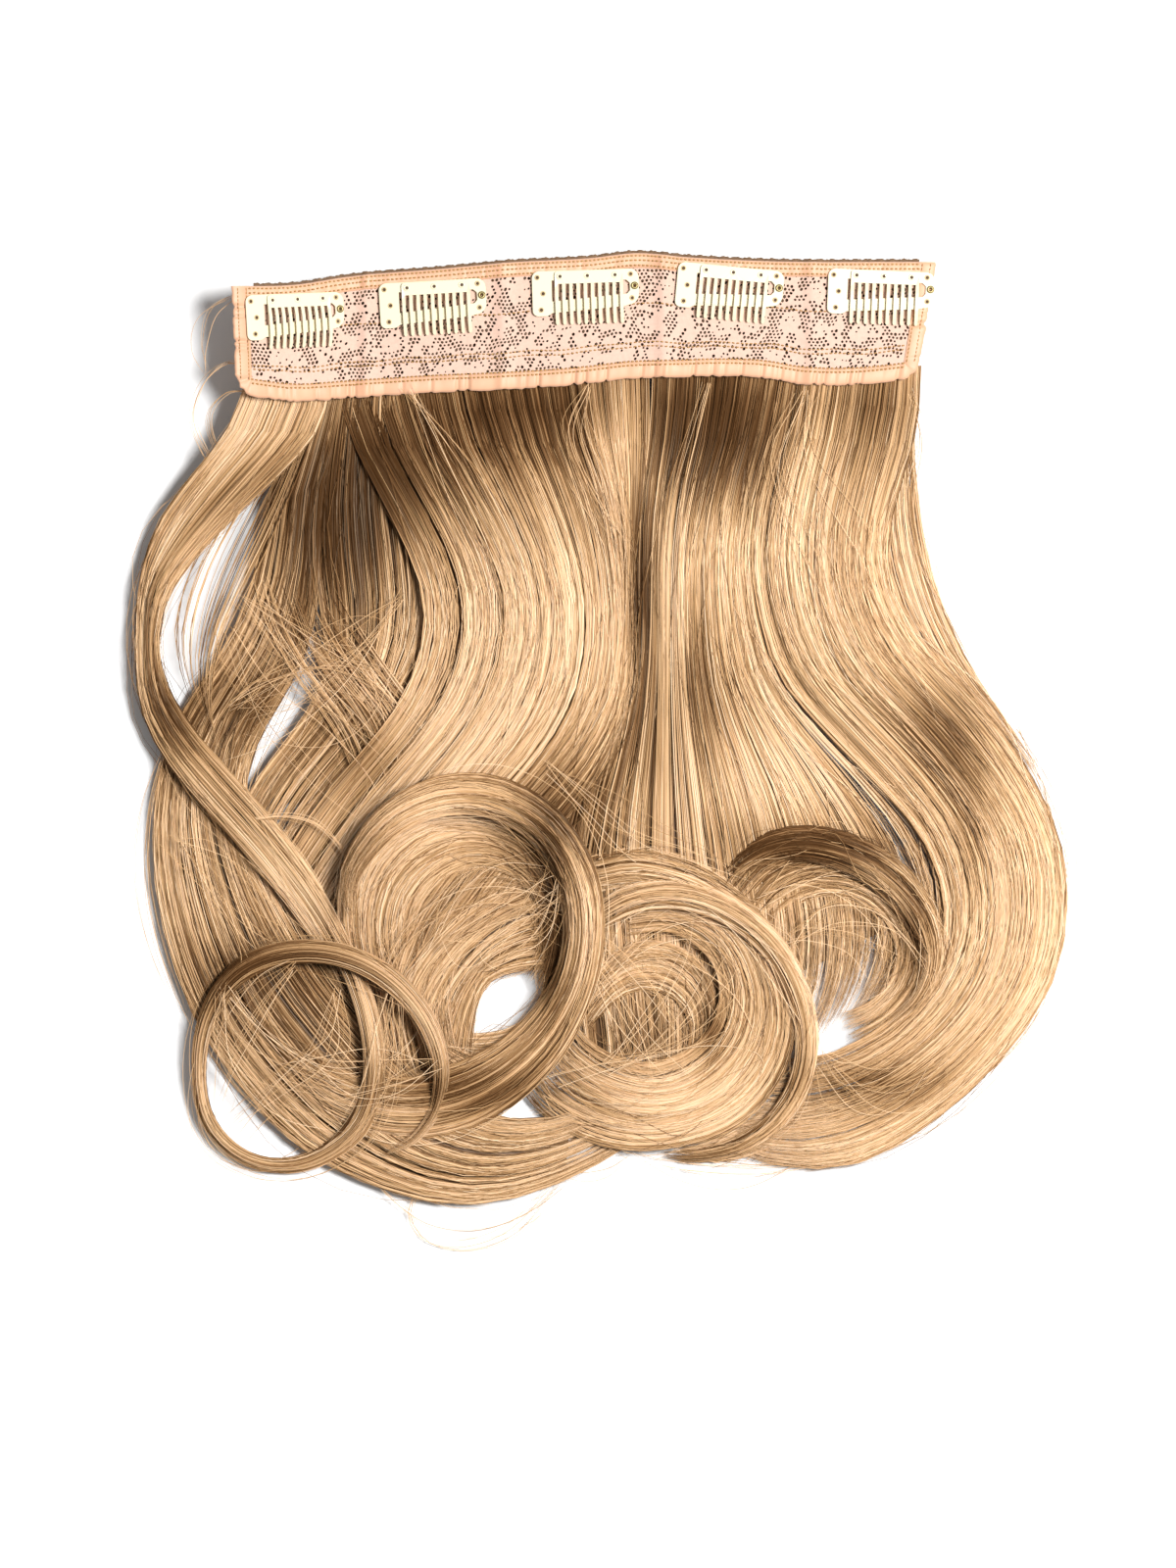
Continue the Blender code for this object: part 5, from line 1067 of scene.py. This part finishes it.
def band_mesh(finish):
    """Flat satin band along the upper edge, slightly puckered."""
    along = np.linspace((BINDING_WIDTH - 0.6) / STRIP_LENGTH, 1.0 - (BINDING_WIDTH - 0.6) / STRIP_LENGTH, 420)
    tall = strip_tall(along)
    run = along * STRIP_LENGTH
    sections = []
    for down, up, wave in ((1.0, 0.2, 0.1), (0.95, 0.55, 0.14), (0.7, 0.7, 0.2), (0.35, 0.72, 0.2),
                           (0.08, 0.62, 0.14), (0.0, 0.2, 0.1), (0.02, -0.2, 0.0), (1.0, -0.35, 0.0)):
        height = up + wave * (0.6 * gather(run * 0.7, 4.0 + down) - 1.8 * creases(run, 9, 1.8, 11.0))
        sections.append(strip_points(along, down * BAND_WIDTH / tall) + np.array([0, 0, MM]) * height[:, None])
    return swept("satin_top_band", np.stack(sections, axis=1), finish, closed=False)


def track_mesh(finish):
    """Brown sewn edge of the wefts behind the upper edge, bumpy where the hair is folded over."""
    along = np.linspace(0.03, 0.975, 500)
    tall = strip_tall(along)
    run = along * STRIP_LENGTH
    sections = []
    peek = 1.1 + 0.35 * gather(run * 2.0, 2.0)
    for down, up in ((-peek, -0.9), (-peek * 0.8, -0.5), (2.0, -0.6), (4.0, -1.0), (4.0, -2.0), (-peek * 0.8, -1.6)):
        sections.append(strip_points(along, down / tall) + np.array([0, 0, MM * up]))
    return swept("weft_edge", np.stack(sections, axis=1), finish)


def stitch_line(centres, headings, length, radius, rise, rng):
    """Short raised thread stitches, one small body each, as arrays of points and faces."""
    ring = np.array([(0.0, 1.0), (0.95, 0.1), (-0.95, 0.1)])
    stations = np.array([(-0.5, 0.2, -0.5), (-0.25, 0.9, 0.6), (0.25, 0.9, 0.6), (0.5, 0.2, -0.5)])
    count = len(centres)
    headings = headings / (np.linalg.norm(headings, axis=1)[:, None] + 1e-9)
    turn = rng.normal(0.0, 0.12, count)
    headings = np.stack([headings[:, 0] * np.cos(turn) - headings[:, 1] * np.sin(turn),
                         headings[:, 0] * np.sin(turn) + headings[:, 1] * np.cos(turn), headings[:, 2]], axis=1)
    side = np.cross(headings, [0.0, 0.0, 1.0])
    side /= np.linalg.norm(side, axis=1)[:, None] + 1e-9
    up = np.cross(side, headings)
    size = length * rng.uniform(0.85, 1.15, count)
    points = []
    for along, scale, lift in stations:
        for across_by, high in ring:
            points.append(centres + headings * (along * size)[:, None] + side * (across_by * radius * scale)
                          + up * (high * radius * scale + lift * radius + rise))
    points = np.stack(points, axis=1).reshape(-1, 3)
    faces = []
    for row in range(3):
        for corner in range(3):
            after = (corner + 1) % 3
            faces.append((row * 3 + corner, row * 3 + after, row * 3 + 3 + after, row * 3 + 3 + corner))
    base = np.arange(count)[:, None, None] * 12
    return points, (base + np.array(faces)[None]).reshape(-1, 4)


def strip_stitches(finish):
    """Every sewn row of the strip: band, binding, side and weft seams."""
    rng = np.random.default_rng(11)
    points, faces, start = [], [], 0
    usable = (BINDING_WIDTH / STRIP_LENGTH, 1.0 - BINDING_WIDTH / STRIP_LENGTH)

    def sew(along, down, length, radius, rise):
        nonlocal start
        where = strip_points(along, down)
        heading = np.gradient(where, axis=0)
        found, made = stitch_line(where, heading, length * MM, radius * MM, rise * MM, rng)
        points.append(found)
        faces.append(made + start)
        start += len(found)

    for offset, pitch, rise in ((0.9, 1.45, 0.72), (2.5, 1.55, 0.8), (4.3, 1.45, 0.74)):
        along = np.arange(usable[0], usable[1], pitch / STRIP_LENGTH)
        sew(along, offset / strip_tall(along), pitch * 0.72, 0.32, rise + 0.06)
    for offset, pitch, rise in ((BINDING_WIDTH + 0.2, 1.5, 0.35), (BINDING_WIDTH - 1.2, 1.5, 0.85)):
        along = np.arange(usable[0], usable[1], pitch / STRIP_LENGTH)
        sew(along, 1.0 - offset / strip_tall(along), pitch * 0.72, 0.32, rise + 0.06)
    for level, pitch in ((0.71, 1.6), (0.745, 1.6), (0.40, 1.7)):
        along = np.arange(usable[0] + 0.004, usable[1] - 0.004, pitch / STRIP_LENGTH)
        sew(along, level + 0.006 * np.sin(along * 70.0), pitch * 0.7, 0.28, 0.2)
    for along_at in (BINDING_WIDTH * 0.35, BINDING_WIDTH * 0.85):
        for mirror in (False, True):
            down = np.arange(0.03, 0.86, 1.5 / STRIP_HEIGHT)
            at = along_at / STRIP_LENGTH
            at = 1.0 - at if mirror else at
            sew(np.full(len(down), at), down, 1.2, 0.17, 0.9)
    return mesh_object("golden_stitches", np.concatenate(points), np.concatenate(faces), finish, True)


def lace_finish(colour):
    made = Finish("flesh_pink_lace_thread", Roughness=0.8, Sheen_Weight=0.05)
    place = made.node("ShaderNodeTexCoord", output=3)
    noise = made.node("ShaderNodeTexNoise", None, {"Vector": place, "Scale": 900.0, "Detail": 2.0})
    shade = made.mix(noise, tuple(c * 0.82 for c in colour), tuple(min(c * 1.08, 1.0) for c in colour))
    return made.feed(Base_Color=shade)


def satin_finish(colour):
    made = Finish("peach_satin_cloth", Roughness=0.5, Sheen_Weight=0.3)
    place = made.node("ShaderNodeTexCoord", output=3)
    weave = made.node("ShaderNodeTexWave", {"bands_direction": "DIAGONAL"},
                      {"Vector": place, "Scale": 900.0, "Distortion": 1.5, "Detail": 1.0}, 1)
    noise = made.node("ShaderNodeTexNoise", None, {"Vector": place, "Scale": 160.0, "Detail": 3.0})
    shade = made.mix(noise, tuple(c * 0.86 for c in colour), tuple(min(c * 1.1, 1.0) for c in colour))
    bump = made.node("ShaderNodeBump", None, {"Height": weave, "Strength": 0.25, "Distance": 0.00008})
    return made.feed(Base_Color=shade, Normal=bump)


def thread_finish():
    made = Finish("golden_thread", Roughness=0.55)
    place = made.node("ShaderNodeTexCoord", output=3)
    noise = made.node("ShaderNodeTexNoise", None, {"Vector": place, "Scale": 300.0})
    return made.feed(Base_Color=made.mix(noise, (0.34, 0.17, 0.04), (0.60, 0.36, 0.11)))


def weft_finish():
    made = Finish("brown_weft_edge", Roughness=0.7)
    place = made.node("ShaderNodeTexCoord", output=3)
    noise = made.node("ShaderNodeTexNoise", None, {"Vector": place, "Scale": 700.0, "Detail": 3.0})
    bump = made.node("ShaderNodeBump", None, {"Height": noise, "Strength": 0.8, "Distance": 0.0003})
    return made.feed(Base_Color=made.mix(noise, (0.06, 0.03, 0.015), (0.28, 0.16, 0.08)), Normal=bump)


class HAIRPIECE_OT_strip(bpy.types.Operator):
    """Make the lace net, its satin band and gathered binding, the weft edge and the stitches"""

    bl_idname = "hairpiece.strip"
    bl_label = "Lace strip"

    def execute(self, context):
        settings = context.scene.hairpiece_strip
        lace = lace_mesh(settings.net_pitch / MM, lace_finish(tuple(settings.lace_colour)))
        satin = satin_finish(tuple(settings.satin_colour))
        binding = binding_mesh(satin)
        band = band_mesh(satin)
        track = track_mesh(weft_finish())
        stitches = strip_stitches(thread_finish())
        bind(lace, "lace_panel", slot="flesh_pink_lace")
        bind(binding, "edge_binding", slot="peach_satin")
        bind(band, "top_band", slot="peach_satin")
        bind(track, "weft_track", slot="brown_weft")
        bind(stitches, slot="flesh_pink_lace")
        return {"FINISHED"}


# Snap clips, in mm on each clip's own plane: u to the right, v down from its upper left corner.
CLIP_PLACES = ((0.0837, 0.681, 4.0), (0.281, 0.796, 3.3), (0.499, 0.881, 1.8), (0.708, 0.908, -5.4),
               (0.9217, 0.877, -2.4))
CLIP_LENGTH = 37.4
CLIP_HEIGHT = 15.8
FRAME_BASE = 1.2925
PLATE_THICKNESS = 0.6
COMB_BASE = 2.1925
COMB_INSET = 7.95
COMB_LENGTH = 23.9
COMB_TOP = 0.3
COMB_BAR = 4.4
COMB_DROP = 18.7
COMB_TEETH = 10
TOOTH_WIDTH = 1.2
TOOTH_RISE = ((0.0, 0.0), (0.235, 0.0), (0.42, 0.9), (0.74, 0.9), (0.9, 0.1), (1.0, -0.8))
PLATE_HOLES = ((1.9, 2.2), (3.8, 7.9), (3.0, 13.6), (CLIP_LENGTH - 2.8, 1.9), (CLIP_LENGTH - 2.5, 10.3))
EYELET_AT = (CLIP_LENGTH - 1.5, 6.0)
COMB_HOLES = (0.08, 0.48, 0.885)


def clip_plane(along, raised, turn):
    """Function that turns arrays of clip coordinates into world points in metres."""
    centre = STRIP_LEFT + along * STRIP_LENGTH
    start = STRIP_LEFT + RAISED_END_START * STRIP_LENGTH

    def lift(x):
        return LAY_HEIGHT + RAISED_END_SLOPE * BEND_SOFTNESS * np.logaddexp(0.0, (start - x) / BEND_SOFTNESS)

    slope = (lift(centre + 5.0) - lift(centre - 5.0)) / 10.0
    angle = math.radians(turn)
    right = np.array([math.cos(angle), math.sin(angle), slope * math.cos(angle)])
    right /= np.linalg.norm(right)
    upward = np.array([-math.sin(angle), math.cos(angle), -slope * math.sin(angle)])
    normal = np.cross(right, upward)
    normal /= np.linalg.norm(normal)
    upward = np.cross(normal, right)
    top = np.array([centre + PLAN_X, raised * STRIP_HEIGHT + PLAN_Y, lift(centre)])

    def place(u, v, w):
        u, v, w = (np.asarray(value, float)[..., None] for value in np.broadcast_arrays(u, v, w))
        return (top + right * (u - CLIP_LENGTH / 2) - upward * v + normal * w) * MM

    return place


def arc(centre, radius, first, turn=90.0, steps=6):
    angles = np.radians(first + turn * np.arange(steps + 1) / steps)
    return [(centre[0] + radius * math.cos(a), centre[1] + radius * math.sin(a)) for a in angles]


def circle(centre, radius, sides=14):
    return arc(centre, radius, 11.0, 360.0, sides)[:-1]


def frame_rings():
    """Outline of the clip's frame, its window and its holes."""
    outline = arc((2.5, 2.5), 2.5, 180.0) + arc((CLIP_LENGTH - 3.2, 3.2), 3.2, 270.0)
    outline += arc((CLIP_LENGTH - 4.0, 8.7), 4.0, 0.0)
    outline += [(31.85, 13.1), (6.9, 14.8)] + arc((4.7, 13.8), 2.0, 30.0, 60.0, 3)[1:] + arc((2.0, 13.8), 2.0, 90.0)
    window = [(6.9, 3.4), (33.0, 3.9), (34.2, 5.0), (34.2, 7.6), (33.2, 8.7), (6.9, 10.7)]
    holes = [circle(PLATE_HOLES[index], 0.62 if index < 3 else 0.5) for index in range(5)]
    return [outline, window, *holes, circle(EYELET_AT, 0.95, 18)]


def comb_rings():
    """Outline of the comb with its ten teeth, and the holes of its bar."""
    left, right = COMB_INSET, COMB_INSET + COMB_LENGTH
    root, tip = COMB_TOP + COMB_BAR, COMB_TOP + COMB_DROP
    pitch = (COMB_LENGTH - TOOTH_WIDTH) / (COMB_TEETH - 1)
    stations = [root + share * (tip - root - 0.6) for share in np.linspace(0.1, 1.0, 9)]
    outline = arc((left + 1.0, COMB_TOP + 1.0), 1.0, 180.0, steps=4)
    outline += arc((right - 1.0, COMB_TOP + 1.0), 1.0, 270.0, steps=4)
    for tooth in reversed(range(COMB_TEETH)):
        near = left + tooth * pitch
        far = near + TOOTH_WIDTH
        if tooth < COMB_TEETH - 1:
            outline.append((far, root))
        outline += [(far, station) for station in stations]
        outline += [(far - 0.28, tip), (near + 0.28, tip)]
        outline += [(near, station) for station in reversed(stations)]
        if tooth > 0:
            outline.append((near, root))
    return [outline] + [circle((left + share * COMB_LENGTH, 2.1), 0.6) for share in COMB_HOLES]


def inside(point, ring):
    hit = False
    for index, first in enumerate(ring):
        second = ring[index - 1]
        if (first[1] > point[1]) != (second[1] > point[1]):
            cross = first[0] + (point[1] - first[1]) / (second[1] - first[1]) * (second[0] - first[0])
            hit = hit != (point[0] < cross)
    return hit


def plate(name, rings, base, bowed, place, finish):
    """A pressed sheet-metal shape with softened edges, cut from its outline and holes."""
    flat = [Vector(point) for ring in rings for point in ring]
    edges, start = [], 0
    for ring in rings:
        edges += [(start + index, start + (index + 1) % len(ring)) for index in range(len(ring))]
        start += len(ring)
    found, _, triangles, _, _, _ = delaunay_2d_cdt(flat, edges, [], 0, 1e-7)
    kept = []
    for triangle in triangles:
        middle = sum((found[index] for index in triangle), Vector((0.0, 0.0))) / 3
        if inside(middle, rings[0]) and not any(inside(middle, ring) for ring in rings[1:]):
            kept.append(tuple(triangle))
    found = np.array([tuple(point) for point in found])
    rows = np.array(TOOTH_RISE)
    rise = np.interp((found[:, 1] - COMB_TOP) / COMB_DROP, rows[:, 0], rows[:, 1]) if bowed else 0.0
    low = place(found[:, 0], found[:, 1], base + rise)
    high = place(found[:, 0], found[:, 1], base + rise + PLATE_THICKNESS)
    count = len(found)
    faces = [tuple(reversed(face)) for face in kept] + [tuple(index + count for index in face) for face in kept]
    sides = {(face[corner], face[(corner + 1) % 3]) for face in kept for corner in range(3)}
    faces += [(a, b, b + count, a + count) for a, b in sorted(sides) if (b, a) not in sides]
    made = mesh_object(name, np.concatenate([low, high]), faces, finish)
    work = bmesh.new()
    work.from_mesh(made.data)
    bmesh.ops.recalc_face_normals(work, faces=work.faces)
    work.to_mesh(made.data)
    work.free()
    soft = made.modifiers.new("soft_edges", "BEVEL")
    soft.width = 0.00012
    soft.segments = 2
    soft.profile = 0.5
    soft.limit_method = "ANGLE"
    soft.angle_limit = math.radians(40.0)
    return made


def turned(name, rings, profile, place, finish, sides=18):
    """Closed turned rings, one at each centre, from a profile of radius and height in mm."""
    points, faces, start = [], [], 0
    count = len(profile)
    for centre in rings:
        for step in range(sides):
            angle = math.tau * step / sides
            for radius, height in profile:
                points.append(place(centre[0] + radius * math.cos(angle), centre[1] + radius * math.sin(angle), height))
            after = (step + 1) % sides
            for row in range(count):
                up = (row + 1) % count
                faces.append((start + step * count + row, start + after * count + row,
                              start + after * count + up, start + step * count + up))
        start += sides * count
    made = mesh_object(name, np.array(points), faces, finish, True)
    work = bmesh.new()
    work.from_mesh(made.data)
    bmesh.ops.recalc_face_normals(work, faces=work.faces)
    work.to_mesh(made.data)
    work.free()
    return made


def rim(inner, outer, base):
    """Profile of a small raised rim that stands on a plate."""
    middle = (inner + outer) / 2
    return ((inner, base - 0.3), (inner, base + 0.10), (middle, base + 0.22), (outer, base + 0.10), (outer, base - 0.05))


class HAIRPIECE_OT_clips(bpy.types.Operator):
    """Make the five snap clips: enamelled frame and comb, rimmed holes, brass eyelet, sewing threads darkened as
    painted shade in the frame's holes, and painted shadow discs in the comb's holes
    """

    bl_idname = "hairpiece.clips"
    bl_label = "Snap clips"

    def execute(self, context):
        enamel = Finish("ivory_enamel_coat", Roughness=0.3, Coat_Weight=0.35)
        enamel.shader.inputs["Base Color"].default_value = (0.78, 0.71, 0.50, 1.0)
        brass = Finish("dull_brass_eyelet", Roughness=0.42, Metallic=0.8)
        brass.shader.inputs["Base Color"].default_value = (0.34, 0.27, 0.12, 1.0)
        worn = Finish("worn_rim_enamel", Roughness=0.4)
        worn.shader.inputs["Base Color"].default_value = (0.56, 0.42, 0.22, 1.0)
        # Dark brown: sewing thread in the frame's holes, and painted shadow in the comb's holes.
        dark = Finish("sewing_thread_and_painted_hole_shade", Roughness=0.8)
        dark.shader.inputs["Base Color"].default_value = (0.10, 0.055, 0.03, 1.0)
        for number, spot in enumerate(CLIP_PLACES, 1):
            place = clip_plane(*spot)
            over = FRAME_BASE + PLATE_THICKNESS
            body = plate(f"frame_plate_{number}", frame_rings(), FRAME_BASE, False, place, enamel.material)
            rims = turned(f"frame_rims_{number}", PLATE_HOLES, rim(0.55, 0.95, over), place, worn.material, 12)
            # Thread knots in the frame's holes, their dark colour partly painted shade in the holes.
            knots = turned(f"hole_threads_and_shade_{number}", PLATE_HOLES, ((0.02, FRAME_BASE + 0.25), (0.5, FRAME_BASE + 0.1),
                           (0.5, FRAME_BASE - 0.6), (0.02, FRAME_BASE - 0.6)), place, dark.material, 8)
            ring = turned(f"eyelet_{number}", (EYELET_AT,), ((0.42, over - 1.1), (0.75, over - 1.1), (0.75, over + 0.05),
                          (1.35, over + 0.05), (1.35, over + 0.25), (1.1, over + 0.6), (0.75, over + 0.7),
                          (0.42, over + 0.35)), place, brass.material)
            for made, node in ((body, "frame"), (rims, "frame"), (ring, "rivet")):
                bind(made, f"clip_{node}_{number}", slot="dull_brass" if node == "rivet" else "ivory_enamel")
            bind(knots)
            comb = plate(f"comb_plate_{number}", comb_rings(), COMB_BASE, True, place, enamel.material)
            centres = [(COMB_INSET + share * COMB_LENGTH, 2.1) for share in COMB_HOLES]
            dimples = turned(f"comb_rims_{number}", centres, rim(0.55, 1.15, COMB_BASE + PLATE_THICKNESS), place,
                             enamel.material)
            # Dark discs in the comb's holes: painted shadow.
            hole_shadow = turned(f"comb_hole_shadows_{number}", centres, ((0.02, COMB_BASE + 0.2), (0.6, COMB_BASE + 0.2),
                            (0.6, COMB_BASE + 0.02), (0.02, COMB_BASE + 0.02)), place, dark.material, 12)
            for made in (comb, dimples, hole_shadow):
                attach(made, f"comb_{number}")
                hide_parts(f"clip_comb_{number}")
        return {"FINISHED"}


class HAIRPIECE_PT_panel(bpy.types.Panel):
    """Lists the settings and the steps."""

    bl_label = "Hairpiece"
    bl_idname = "HAIRPIECE_PT_panel"
    bl_space_type = "VIEW_3D"
    bl_region_type = "UI"
    bl_category = "Hairpiece"

    def draw(self, context):
        layout = self.layout
        for group in (context.scene.hairpiece_hair, context.scene.hairpiece_strip, context.scene.hairpiece_stage):
            for key in group.__annotations__:
                layout.prop(group, key)
        for step in STEPS:
            layout.operator(step.bl_idname)


STEPS = (HAIRPIECE_OT_stage, HAIRPIECE_OT_hair, HAIRPIECE_OT_strip, HAIRPIECE_OT_clips)
CLASSES = (HairSettings, StripSettings, StageSettings, *STEPS, HAIRPIECE_PT_panel)


def register():
    for made in CLASSES:
        bpy.utils.register_class(made)
    bpy.types.Scene.hairpiece_hair = PointerProperty(type=HairSettings)
    bpy.types.Scene.hairpiece_strip = PointerProperty(type=StripSettings)
    bpy.types.Scene.hairpiece_stage = PointerProperty(type=StageSettings)


def unregister():
    for name in ("hairpiece_hair", "hairpiece_strip", "hairpiece_stage"):
        delattr(bpy.types.Scene, name)
    for made in reversed(CLASSES):
        bpy.utils.unregister_class(made)


def main():
    register()
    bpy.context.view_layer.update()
    bpy.ops.hairpiece.stage()
    bpy.ops.hairpiece.hair()
    bpy.ops.hairpiece.strip()
    bpy.ops.hairpiece.clips()


if __name__ == "__main__":
    main()
